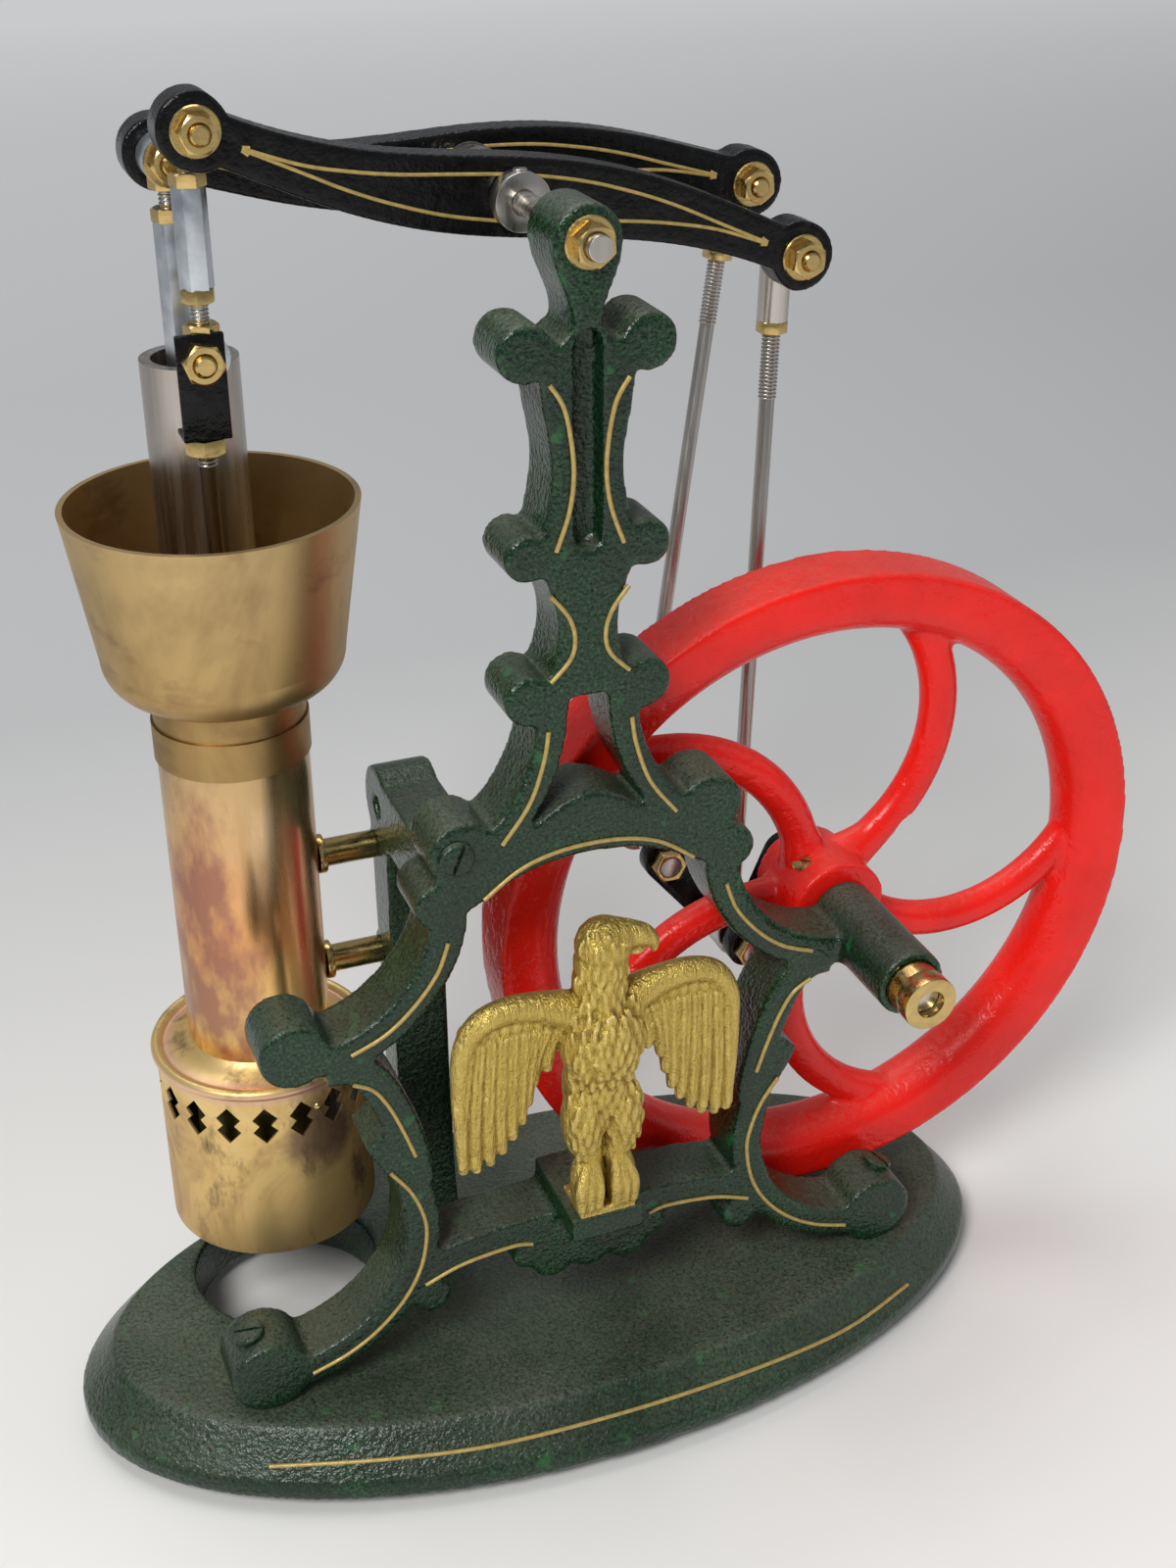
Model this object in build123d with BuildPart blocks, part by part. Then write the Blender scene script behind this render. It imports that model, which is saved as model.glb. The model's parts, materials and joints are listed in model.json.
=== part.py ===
from build123d import *
import math
import os

# Table-top hot air engine with two rocking beams, in millimetres, +Z up.
# The origin is on the floor, under the middle of the whole footprint.
# +X points to the flywheel side, +Y to the back.

# Base plate and its bumper feet
base_half_length = 108.0
base_half_depth = 55.0
foot_height = 3.0
foot_radius = 5.5
base_rim_height = 4.5
base_slope_height = 9.5
base_slope_run = 8.0
burner_hole_radius = 20.5
burner_hole_back = 44.5
front_foot_x = 58.0
front_foot_y = 34.0
rear_foot_x = 86.0
rear_foot_y = 18.0

# Heights and reaches that the standard carries
pivot_height = 237.6
shaft_reach = 63.9
foot_reach = 71.5
standard_front = -28.0
standard_depth = 13.5
foot_lobe_radius = 8.4
upper_arm_width = 5.8
arm_width = 7.2
leg_width = 7.2
head_radius = 6.4
column_groove_depth = 4.0
platform_width = 16.0
platform_depth = 23.5
platform_rise = 5.0

# Bearing and crankshaft
shaft_radius = 3.0
bush_radius = 5.6
boss_radius = 7.4
boss_reach = 18.0
bush_reach = 3.2
collar_radius = 5.9
collar_width = 4.0
collar_recess = 2.2
running_gap = 0.05
seat_gap = 0.02
side_gap = 0.3
wheel_gap = 4.0

# Flywheel
wheel_radius = 76.2
wheel_floor_gap = 8.3
wheel_width = 15.3
rim_band = 7.0
rim_ridge = 7.2
hub_radius = 11.0
spoke_count = 5
spoke_width = 8.6
spoke_depth = 7.0
spoke_rim_angle = 73.0
spoke_lean = 17.0
spoke_bow = 4.5

# Crank, seen from the front, angles counted from +X
crank_throw = 24.0
front_pin_angle = 247.0
rear_pin_angle = 192.0
web_thickness = 4.2
web_half_width = 5.0
pin_radius = 2.6
pin_nut_flats = 7.0
pin_nut_height = 3.2
web_gap = 5.0

# Beams
left_arm_overshoot = 1.0
right_arm = 61.0
beam_thickness = 7.5
beam_boss_radius = 6.7
beam_belly = 7.3
beam_neck = 4.3
front_beam_tilt = 15.3
rear_beam_tilt = 7.0
front_beam_front = 36.0
beam_spacing = 26.5
pivot_shaft_radius = 3.0
pivot_collar_radius = 5.4
pivot_collar_width = 4.0
pivot_shaft_proud = 1.5
pivot_nut_flats = 8.2
bolt_radius = 1.9
nut_flats = 7.0
nut_height = 3.0
washer_radius = 4.9
washer_thickness = 0.8

# Connecting rods, links and their ends
rod_radius = 1.6
eye_radius = 4.4
eye_width = 6.8
rod_end_radius = 3.15
rod_end_length = 15.0
lock_nut_flats = 5.6
lock_nut_height = 2.6
link_flats = 5.5
link_stud_radius = 1.4
link_hex_drop = 11.0
front_link_hex = 18.0
rear_link_hex = 27.0
front_link_length = 41.5
rear_link_length = 52.0
big_end_radius = 5.4

# Hot cylinder, cooling cup and power cylinder
stay_length = 12.8
column_back = 49.0
tube_radius = 15.2
tube_wall = 1.2
tube_foot = 50.0
collar_height = 14.3
collar_ring_height = 8.0
collar_ring_proud = 0.5
cup_rim_drop = 54.1
cup_depth = 37.0
cup_rim_radius = 28.6
cup_foot_radius = 24.0
cup_corner = 8.0
cup_wall = 1.2
power_radius = 9.4
power_wall = 2.2
power_top_drop = 29.5
power_back = 60.6
power_x_shift = 0.8
piston_height = 11.0
piston_gap = 1.2
stay_radius = 3.0
stay_flange_radius = 4.2
stay_flange = 1.6
stay_height_shares = (0.203, 0.587)

# Burner
burner_top = 79.0
burner_cap_radius = 23.7
burner_cap_drop = 6.0
burner_rim_roll = 1.3
burner_wall = 0.8
skirt_radius = 22.6
skirt_bottom = 35.0
vent_count = 14
vent_size = 4.2
vent_drop = 9.0

# Bracket behind the standard
bracket_wheel_gap = 5.7
bracket_thickness = 12.0
bracket_lobe_radius = 9.0
bracket_ear_radius = 4.2
bracket_hole_radius = 2.4
bracket_post_front = 38.0
bracket_post_depth = 15.0
bracket_top_share = 0.5135
bracket_arm_drop = 15.0

# Displacer clevis and rod
clevis_width = 9.0
clevis_height = 20.0
clevis_plate = 1.2
clevis_foot_depth = 5.2
clevis_ear = 5.0
clevis_eye_width = 3.6
lower_eye_radius = 4.6
piston_eye_radius = 2.2
displacer_rod_radius = 1.6
displacer_rod_length = 85.0

# Eagle ornament
eagle_height_share = 0.3
eagle_half_span = 31.5
eagle_forward = 4.0

overrun = 1.0

# Places worked out from the sizes above
mirror_x = (base_half_length - shaft_reach - wheel_radius) / 2
base_top = foot_height + base_rim_height + base_slope_height
shaft_x = mirror_x + shaft_reach
shaft_z = base_top + wheel_radius + wheel_floor_gap
pivot_z = base_top + pivot_height
standard_back = standard_front + standard_depth
wheel_front = standard_back + wheel_gap
wheel_back = wheel_front + wheel_width
wheel_middle = wheel_front + wheel_width / 2
bracket_right = shaft_x - wheel_radius - bracket_wheel_gap
bracket_left = bracket_right - bracket_thickness
column_x = bracket_left - stay_length - tube_radius
left_arm = mirror_x - column_x + left_arm_overshoot
column_y = standard_front + column_back
front_beam_y = standard_front + front_beam_front
rear_beam_y = front_beam_y + beam_spacing
front_rod_y = front_beam_y + beam_thickness + side_gap + eye_width / 2
rear_rod_y = rear_beam_y + beam_thickness + side_gap + eye_width / 2
rear_link_y = rear_beam_y - side_gap - eye_width / 2
power_x = column_x + power_x_shift
power_y = standard_front + power_back
power_top = pivot_z - power_top_drop
cup_rim = pivot_z - cup_rim_drop
cup_floor = cup_rim - cup_depth
cup_bottom = cup_floor - cup_wall
tube_top = cup_bottom - collar_height


def on_circle(x, z, radius, angle):
    """Point of the XZ plane at an angle from +X."""
    return x + radius * math.cos(math.radians(angle)), z + radius * math.sin(math.radians(angle))


front_pin = on_circle(shaft_x, shaft_z, crank_throw, front_pin_angle)
rear_pin = on_circle(shaft_x, shaft_z, crank_throw, rear_pin_angle)
front_right = on_circle(mirror_x, pivot_z, right_arm, -front_beam_tilt)
front_left = on_circle(mirror_x, pivot_z, left_arm, 180 - front_beam_tilt)
rear_right = on_circle(mirror_x, pivot_z, right_arm, -rear_beam_tilt)
rear_left = on_circle(mirror_x, pivot_z, left_arm, 180 - rear_beam_tilt)


def facing_front(y, x=0.0, z=0.0):
    """Plane that looks to the front, with local x along +X and local y along +Z."""
    return Plane(origin=(x, y, z), x_dir=(1, 0, 0), z_dir=(0, -1, 0))


def write(piece, name):
    piece.part.label = name
    export_step(piece.part, f"parts/{name}.step")


def band_points(centre, widths):
    """Two edges of a band that follows a centre line with a width at each point."""
    left = []
    right = []
    for i, (x, z) in enumerate(centre):
        before = centre[max(i - 1, 0)]
        after = centre[min(i + 1, len(centre) - 1)]
        along = Vector(after[0] - before[0], after[1] - before[1]).normalized()
        half = widths[i] / 2
        left.append((x - along.Y * half, z + along.X * half))
        right.append((x + along.Y * half, z - along.X * half))
    return left, right


def band(centre, widths):
    """Face of a band with spline edges and square ends, in the current sketch."""
    left, right = band_points(centre, widths)
    with BuildLine() as edges:
        Spline(*left)
        Line(left[-1], right[-1])
        Spline(*right)
        Line(left[0], right[0])
    make_face(edges.edges())


def spot(shares):
    """Place on the standard's face from shares of its foot reach and pivot height."""
    return shares[0] * foot_reach, base_top + shares[1] * pivot_height


def mirrored(shares, side):
    """Places on one side of the standard's face."""
    return [(side * x, z) for x, z in map(spot, shares)]


os.makedirs("parts", exist_ok=True)

# Base plate: oval casting with a sloped edge and a round hole under the burner
with BuildPart() as base_plate:
    with BuildSketch(Plane.XY.offset(foot_height)):
        with Locations((mirror_x, 0)):
            Ellipse(base_half_length, base_half_depth)
    extrude(amount=base_rim_height)
    with BuildSketch(Plane.XY.offset(foot_height + base_rim_height)):
        with Locations((mirror_x, 0)):
            Ellipse(base_half_length, base_half_depth)
    with BuildSketch(Plane.XY.offset(base_top)):
        with Locations((mirror_x, 0)):
            Ellipse(base_half_length - base_slope_run, base_half_depth - base_slope_run)
    loft()
    with BuildSketch(Plane.XY.offset(foot_height)):
        with Locations((column_x, standard_front + burner_hole_back)):
            Circle(burner_hole_radius)
    extrude(amount=base_top, mode=Mode.SUBTRACT)
write(base_plate, "base_plate")

with BuildPart() as bumper_feet:
    with BuildSketch(Plane.XY):
        for side in (-1, 1):
            with Locations(
                (mirror_x + side * front_foot_x, -front_foot_y),
                (mirror_x + side * rear_foot_x, rear_foot_y),
            ):
                Circle(foot_radius)
    extrude(amount=foot_height)
write(bumper_feet, "bumper_feet")

# Standard: one scrolled casting, drawn for one side and mirrored
waist_shares = (
    (0.036, 0.938), (0.119, 0.905), (0.095, 0.842), (0.115, 0.791),
    (0.126, 0.77), (0.081, 0.711), (0.112, 0.665), (0.14, 0.648),
)
lobe_shares = (
    ((0.161, 0.924), 0.022),
    ((0.161, 0.768), 0.019),
    ((0.161, 0.65), 0.0212),
    ((0.36, 0.526), 0.0285),
    ((0.43, 0.482), 0.0205),
)
end_lobe_shares = (0.853, 0.368)
end_lobe_radius_share = 0.0295
upper_arm_shares = ((0.095, 0.652), (0.105, 0.618), (0.13, 0.589), (0.178, 0.56), (0.245, 0.536), (0.35, 0.526))
side_arm_shares = ((0.4, 0.47), (0.44, 0.428), (0.525, 0.392), (0.622, 0.369), (0.715, 0.3575))
upper_leg_shares = ((0.76, 0.345), (0.67, 0.338), (0.615, 0.314), (0.573, 0.282), (0.54, 0.244), (0.53, 0.21))
lower_leg_shares = (
    (0.545, 0.22), (0.528, 0.189), (0.517, 0.158), (0.536, 0.126),
    (0.58, 0.095), (0.657, 0.067), (0.762, 0.045), (0.93, 0.032),
)
leaf_shares = ((0.575, 0.285), (0.672, 0.257), (0.63, 0.232), (0.55, 0.2))
cross_top_shares = ((0.0, 0.562), (0.14, 0.544), (0.252, 0.522), (0.43, 0.497))
cross_bottom_shares = ((0.0, 0.505), (0.14, 0.501), (0.252, 0.488), (0.336, 0.474), (0.43, 0.468))
rail_top_shares = ((0.0, 0.14), (0.28, 0.138), (0.42, 0.133), (0.53, 0.124))
rail_bottom_shares = ((0.0, 0.103), (0.252, 0.108), (0.42, 0.102), (0.53, 0.088))
rail_leaf_shares = (((0.12, 0.086), 0.021), ((0.2, 0.096), 0.014), ((0.5, 0.079), 0.017))
rail_drop_shares = (0.0, 0.086)
rail_drop_radius_share = 0.02

with BuildPart() as front_standard:
    with BuildSketch(facing_front(standard_back, mirror_x)):
        # Head round the beam pivot, tapering into the column
        neck = spot(waist_shares[0])
        with Locations((0, pivot_z)):
            Circle(head_radius)
        with BuildLine():
            edge = [(head_radius, pivot_z), neck]
            Line((-head_radius, pivot_z), (head_radius, pivot_z))
            Spline(*edge, tangents=[(0, -1), (0, -1)])
            Line(neck, (-neck[0], neck[1]))
            Spline((-head_radius, pivot_z), (-neck[0], neck[1]), tangents=[(0, -1), (0, -1)])
        make_face()
        # Waisted column
        waist = [spot(s) for s in waist_shares]
        with BuildLine():
            Spline(*waist)
            Line(waist[-1], (-waist[-1][0], waist[-1][1]))
            Spline(*[(-x, z) for x, z in waist])
            Line(waist[0], (-waist[0][0], waist[0][1]))
        make_face()
        # Cross piece under the column
        cross_top = [spot(s) for s in cross_top_shares]
        cross_bottom = [spot(s) for s in cross_bottom_shares]
        with BuildLine():
            Spline(*[(-x, z) for x, z in reversed(cross_top[1:])], *cross_top)
            Line(cross_top[-1], cross_bottom[-1])
            Spline(*[(-x, z) for x, z in reversed(cross_bottom[1:])], *cross_bottom)
            Line((-cross_top[-1][0], cross_top[-1][1]), (-cross_bottom[-1][0], cross_bottom[-1][1]))
        make_face()
        # Bottom rail with its hanging leaves
        rail_top = [spot(s) for s in rail_top_shares]
        rail_bottom = [spot(s) for s in rail_bottom_shares]
        with BuildLine():
            Spline(*[(-x, z) for x, z in reversed(rail_top[1:])], *rail_top)
            Line(rail_top[-1], rail_bottom[-1])
            Spline(*[(-x, z) for x, z in reversed(rail_bottom[1:])], *rail_bottom)
            Line((-rail_top[-1][0], rail_top[-1][1]), (-rail_bottom[-1][0], rail_bottom[-1][1]))
        make_face()
        with Locations(spot(rail_drop_shares)):
            Circle(rail_drop_radius_share * pivot_height)
        for side in (-1, 1):
            for place, radius_share in lobe_shares + rail_leaf_shares:
                with Locations(mirrored([place], side)[0]):
                    Circle(radius_share * pivot_height)
            arm = mirrored(upper_arm_shares, side)
            band(arm, [upper_arm_width] * len(arm))
            side_arm = mirrored(side_arm_shares, side)
            band(side_arm, [arm_width] * len(side_arm))
            upper_leg = mirrored(upper_leg_shares, side)
            band(upper_leg, [arm_width] * len(upper_leg))
            lower_leg = mirrored(lower_leg_shares, side)
            band(lower_leg, [leg_width] * len(lower_leg))
            leaf = mirrored(leaf_shares, side)
            with BuildLine():
                Line(leaf[0], leaf[1])
                Spline(leaf[1], leaf[2], leaf[3])
                Line(leaf[3], leaf[0])
            make_face()
            with Locations((side * foot_reach, base_top + foot_lobe_radius)):
                Circle(foot_lobe_radius)
        # Left arm ends in a lobe and the right one in the shaft bearing
        lobe = mirrored([end_lobe_shares], -1)[0]
        with Locations(lobe):
            Circle(end_lobe_radius_share * pivot_height)
        with Locations((shaft_reach, shaft_z)):
            Circle(boss_radius)
        bearing_arm = mirrored(side_arm_shares[-2:], 1) + [(shaft_reach, shaft_z)]
        band(bearing_arm, [arm_width] * len(bearing_arm))
        lobe_arm = mirrored(side_arm_shares[-2:], -1) + [lobe]
        band(lobe_arm, [arm_width] * len(lobe_arm))
    extrude(amount=standard_depth)
    # Platform for the eagle, standing forward of the rail
    platform_top = rail_top[0][1] + platform_rise
    with BuildSketch(Plane.XY.offset(platform_top)):
        with Locations((mirror_x, standard_back - platform_depth / 2)):
            Rectangle(platform_width, platform_depth)
    extrude(amount=platform_rise + overrun, dir=(0, 0, -1))
    # Long bearing boss on the flywheel side
    with BuildSketch(facing_front(standard_front, shaft_x, shaft_z)):
        Circle(boss_radius)
    extrude(amount=boss_reach)
    # Groove down the middle of the column
    groove = [(0, spot(waist_shares[0])[1]), (0, spot(waist_shares[4])[1])]
    with BuildSketch(facing_front(standard_front, mirror_x)):
        with Locations((0, (groove[0][1] + groove[1][1]) / 2)):
            SlotOverall(groove[0][1] - groove[1][1], waist[0][0] * 2, rotation=90)
    extrude(amount=-column_groove_depth, mode=Mode.SUBTRACT)
    # Bore for the bush and hole for the beam pivot
    with BuildSketch(facing_front(standard_back, shaft_x, shaft_z)):
        Circle(bush_radius + seat_gap)
    extrude(amount=standard_depth + boss_reach, mode=Mode.SUBTRACT)
    with BuildSketch(facing_front(standard_back, mirror_x, pivot_z)):
        Circle(pivot_shaft_radius + seat_gap)
    extrude(amount=standard_depth, mode=Mode.SUBTRACT)
write(front_standard, "front_standard")


# Eagle: lofted body with a beak and spread wings, one solid on the platform
eagle_body_shares = (
    (0.0, 0.2), (0.07, 0.215), (0.15, 0.21), (0.24, 0.18), (0.36, 0.238), (0.5, 0.295),
    (0.63, 0.317), (0.73, 0.265), (0.81, 0.18), (0.88, 0.175), (0.94, 0.18), (1.0, 0.09),
)
eagle_flat_share = 0.7
eagle_wing_shares = (
    (0.2, 0.72), (0.444, 0.77), (0.635, 0.787), (0.81, 0.736), (0.952, 0.61), (1.0, 0.428), (0.994, 0.246),
    (0.94, 0.185), (0.794, 0.2), (0.651, 0.274), (0.54, 0.372), (0.429, 0.484), (0.302, 0.512), (0.2, 0.49),
)
eagle_beak_shares = ((0.05, 0.985), (0.22, 0.955), (0.34, 0.885), (0.34, 0.835), (0.25, 0.865), (0.05, 0.83))
eagle_wing_depth_share = 0.075
eagle_height = eagle_height_share * pivot_height
eagle_y = standard_front - eagle_forward


def eagle_spot(shares, side=1):
    return side * shares[0] * eagle_half_span, shares[1] * eagle_height


with BuildPart() as eagle:
    for height_share, half_share in eagle_body_shares:
        half_width = half_share * eagle_half_span
        with BuildSketch(Plane(origin=(mirror_x, eagle_y, platform_top + height_share * eagle_height))):
            Ellipse(half_width, half_width * eagle_flat_share)
    loft()
    wing_depth = eagle_wing_depth_share * eagle_height
    with BuildSketch(facing_front(eagle_y + wing_depth / 2, mirror_x, platform_top)):
        for side in (-1, 1):
            wing = [eagle_spot(s, side) for s in eagle_wing_shares]
            with BuildLine():
                Spline(*wing)
                Line(wing[-1], wing[0])
            make_face()
        with BuildLine():
            Spline(*[eagle_spot(s) for s in eagle_beak_shares[:3]])
            Polyline(*[eagle_spot(s) for s in eagle_beak_shares[2:]], eagle_spot(eagle_beak_shares[0]))
        make_face()
    extrude(amount=wing_depth)
write(eagle, "eagle")

# Bearing bush and crankshaft
bush_front = standard_front - boss_reach - bush_reach
with BuildPart() as bearing_bush:
    with BuildSketch(facing_front(standard_back, shaft_x, shaft_z)):
        Circle(bush_radius)
        Circle(shaft_radius + running_gap, mode=Mode.SUBTRACT)
    extrude(amount=standard_back - bush_front)
write(bearing_bush, "bearing_bush")

web_front = wheel_back + web_gap
first_web_back = web_front + web_thickness
second_web_front = front_rod_y + eye_width / 2 + pin_nut_height + 2 * side_gap
with BuildPart() as crankshaft:
    with BuildSketch(facing_front(first_web_back, shaft_x, shaft_z)):
        Circle(shaft_radius)
    extrude(amount=first_web_back - bush_front + collar_width + side_gap - collar_recess)
write(crankshaft, "crankshaft")

with BuildPart() as shaft_collar:
    with BuildSketch(facing_front(bush_front - side_gap, shaft_x, shaft_z)):
        Circle(collar_radius)
        Circle(shaft_radius + seat_gap, mode=Mode.SUBTRACT)
    extrude(amount=collar_width)
write(shaft_collar, "shaft_collar")

# Flywheel: banded rim with an inner ridge, curved spokes and a long hub
with BuildPart() as flywheel:
    with BuildSketch(Plane(origin=(shaft_x, wheel_front, shaft_z), x_dir=(1, 0, 0), z_dir=(0, 0, 1))):
        with BuildLine():
            inner = wheel_radius - rim_band
            Polyline((inner, 0), (wheel_radius, 0), (wheel_radius, wheel_width), (inner, wheel_width))
            ThreePointArc((inner, wheel_width), (inner - rim_ridge, wheel_width / 2), (inner, 0))
        make_face()
    revolve(axis=Axis((shaft_x, 0, shaft_z), (0, 1, 0)))
    with BuildSketch(facing_front(wheel_back, shaft_x, shaft_z)):
        Circle(hub_radius)
    extrude(amount=wheel_back - standard_back - side_gap)
    spoke_root = on_circle(0, 0, hub_radius / 2, spoke_rim_angle - spoke_lean)
    spoke_tip = on_circle(0, 0, wheel_radius - rim_band - rim_ridge / 2, spoke_rim_angle)
    spoke_middle = on_circle(0, 0, (wheel_radius + hub_radius) / 2, spoke_rim_angle - spoke_lean - spoke_bow)
    with BuildLine(facing_front(wheel_middle, shaft_x, shaft_z)) as spoke_path:
        ThreePointArc(spoke_root, spoke_middle, spoke_tip)
    with BuildSketch(Plane(origin=spoke_path.line @ 0, x_dir=(0, 1, 0), z_dir=spoke_path.line % 0)) as spoke_section:
        Ellipse(spoke_depth / 2, spoke_width / 2)
    spoke = sweep(spoke_section.sketch, path=spoke_path.line, mode=Mode.PRIVATE)
    shaft_line = Axis((shaft_x, 0, shaft_z), (0, 1, 0))
    for i in range(spoke_count):
        add(spoke.rotate(shaft_line, i * 360 / spoke_count))
    with BuildSketch(facing_front(wheel_back + overrun, shaft_x, shaft_z)):
        Circle(shaft_radius + seat_gap)
    extrude(amount=wheel_back - standard_back + 2 * overrun, mode=Mode.SUBTRACT)
write(flywheel, "flywheel")


def along(start, end):
    """Length and angle of a line between two places."""
    dx = end[0] - start[0]
    dz = end[1] - start[1]
    return math.hypot(dx, dz), math.degrees(math.atan2(dz, dx))


def middle_of(start, end):
    return (start[0] + end[0]) / 2, (start[1] + end[1]) / 2


with BuildPart() as front_web:
    length, angle = along((shaft_x, shaft_z), front_pin)
    with BuildSketch(facing_front(first_web_back)):
        with Locations(middle_of((shaft_x, shaft_z), front_pin)):
            SlotCenterToCenter(length, 2 * web_half_width, rotation=angle)
        with Locations((shaft_x, shaft_z)):
            Circle(shaft_radius + seat_gap, mode=Mode.SUBTRACT)
        with Locations(front_pin):
            Circle(pin_radius + seat_gap, mode=Mode.SUBTRACT)
    extrude(amount=web_thickness)
write(front_web, "front_crank_web")

with BuildPart() as rear_web:
    length, angle = along(front_pin, rear_pin)
    with BuildSketch(facing_front(second_web_front + web_thickness)):
        with Locations(middle_of(front_pin, rear_pin)):
            SlotCenterToCenter(length, 2 * web_half_width, rotation=angle)
        with Locations(front_pin, rear_pin):
            Circle(pin_radius + seat_gap, mode=Mode.SUBTRACT)
    extrude(amount=web_thickness)
write(rear_web, "rear_crank_web")

with BuildPart() as crank_pins:
    with BuildSketch(facing_front(second_web_front + web_thickness)):
        with Locations(front_pin):
            Circle(pin_radius)
    extrude(amount=second_web_front + web_thickness - web_front + pin_nut_height)
    with BuildSketch(facing_front(rear_rod_y + eye_width / 2)):
        with Locations(rear_pin):
            Circle(pin_radius)
    extrude(amount=rear_rod_y + eye_width / 2 - second_web_front + pin_nut_height)
write(crank_pins, "crank_pins")

with BuildPart() as crank_nuts:
    for place, back in ((front_pin, web_front), (rear_pin, second_web_front)):
        with BuildSketch(facing_front(back)):
            with Locations(place):
                RegularPolygon(pin_nut_flats / 2, 6, major_radius=False)
                Circle(pin_radius + seat_gap, mode=Mode.SUBTRACT)
        extrude(amount=pin_nut_height)
write(crank_nuts, "crank_nuts")


def standing_plane(foot, head, y):
    """Plane across a rod that runs from foot to head in the XZ plane."""
    run = Vector(head[0] - foot[0], 0, head[1] - foot[1])
    return Plane(origin=(foot[0], y, foot[1]), x_dir=(0, 1, 0), z_dir=run.normalized())


def connecting_rod(pin, head, y):
    """Rod with a big end on its crank pin and an eye beside the end of its beam."""
    length, angle = along(pin, head)
    with BuildPart() as rod:
        with BuildSketch(facing_front(y + eye_width / 2)):
            with Locations(pin):
                Circle(big_end_radius)
        extrude(amount=eye_width)
        with BuildSketch(standing_plane(pin, head, y)):
            Circle(rod_radius)
        extrude(amount=length - rod_end_length)
        with BuildSketch(facing_front(y + eye_width / 2)):
            with Locations(pin):
                Circle(pin_radius + running_gap)
        extrude(amount=eye_width, mode=Mode.SUBTRACT)
    with BuildPart() as end:
        with BuildSketch(standing_plane(pin, head, y).offset(length - rod_end_length)):
            Circle(rod_end_radius)
        extrude(amount=rod_end_length)
        with BuildSketch(facing_front(y + eye_width / 2)):
            with Locations(head):
                Circle(eye_radius)
        extrude(amount=eye_width)
        with BuildSketch(facing_front(y + eye_width / 2)):
            with Locations(head):
                Circle(bolt_radius)
        extrude(amount=eye_width, mode=Mode.SUBTRACT)
    with BuildPart() as nut:
        with BuildSketch(standing_plane(pin, head, y).offset(length - rod_end_length - lock_nut_height)):
            RegularPolygon(lock_nut_flats / 2, 6, major_radius=False)
            Circle(rod_radius + seat_gap, mode=Mode.SUBTRACT)
        extrude(amount=lock_nut_height)
    return rod, end, nut


front_rod, front_rod_end, front_rod_nut = connecting_rod(front_pin, front_right, front_rod_y)
write(front_rod, "front_connecting_rod")
write(front_rod_end, "front_rod_end")
write(front_rod_nut, "front_rod_lock_nut")
rear_rod, rear_rod_end, rear_rod_nut = connecting_rod(rear_pin, rear_right, rear_rod_y)
write(rear_rod, "rear_connecting_rod")
write(rear_rod_end, "rear_rod_end")
write(rear_rod_nut, "rear_rod_lock_nut")

# Beams: belly plates with a boss at each end, on one pivot shaft
beam_shares = ((-1.0, 0.0), (-0.8, 0.05), (-0.5, 0.45), (0.0, 1.0), (0.5, 0.45), (0.8, 0.05), (1.0, 0.0))


def beam_plate(front, tilt):
    lean = math.radians(tilt)
    plane = Plane(
        origin=(mirror_x, front + beam_thickness, pivot_z),
        x_dir=(math.cos(lean), 0, -math.sin(lean)),
        z_dir=(0, -1, 0),
    )
    with BuildPart() as beam:
        with BuildSketch(plane):
            upper = []
            for along_share, belly_share in beam_shares:
                arm = left_arm if along_share < 0 else right_arm
                upper.append((along_share * arm, beam_neck + belly_share * (beam_belly - beam_neck)))
            with BuildLine() as outline:
                Spline(*upper)
                Spline(*[(x, -z) for x, z in upper])
                Line(upper[0], (upper[0][0], -upper[0][1]))
                Line(upper[-1], (upper[-1][0], -upper[-1][1]))
            make_face(outline.edges())
            with Locations((-left_arm, 0), (right_arm, 0)):
                Circle(beam_boss_radius)
            with Locations((-left_arm, 0), (right_arm, 0)):
                Circle(bolt_radius + seat_gap, mode=Mode.SUBTRACT)
            Circle(pivot_shaft_radius + running_gap, mode=Mode.SUBTRACT)
        extrude(amount=beam_thickness)
    return beam


front_beam = beam_plate(front_beam_y, front_beam_tilt)
write(front_beam, "front_beam")
rear_beam = beam_plate(rear_beam_y, rear_beam_tilt)
write(rear_beam, "rear_beam")

pivot_back = rear_beam_y + beam_thickness + side_gap
pivot_front = standard_front - washer_thickness - nut_height - pivot_shaft_proud
with BuildPart() as beam_pivot_shaft:
    with BuildSketch(facing_front(pivot_back + pivot_collar_width, mirror_x, pivot_z)):
        Circle(pivot_shaft_radius)
    extrude(amount=pivot_back + pivot_collar_width - pivot_front)
write(beam_pivot_shaft, "beam_pivot_shaft")

beam_gap_front = front_beam_y + beam_thickness + side_gap
with BuildPart() as pivot_collars:
    for back in (front_beam_y - side_gap, pivot_back + pivot_collar_width):
        with BuildSketch(facing_front(back, mirror_x, pivot_z)):
            Circle(pivot_collar_radius)
            Circle(pivot_shaft_radius + seat_gap, mode=Mode.SUBTRACT)
        extrude(amount=pivot_collar_width)
    with BuildSketch(facing_front(rear_beam_y - side_gap, mirror_x, pivot_z)):
        Circle(pivot_collar_radius)
        Circle(pivot_shaft_radius + seat_gap, mode=Mode.SUBTRACT)
    extrude(amount=rear_beam_y - side_gap - beam_gap_front)
write(pivot_collars, "pivot_collars")

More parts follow.
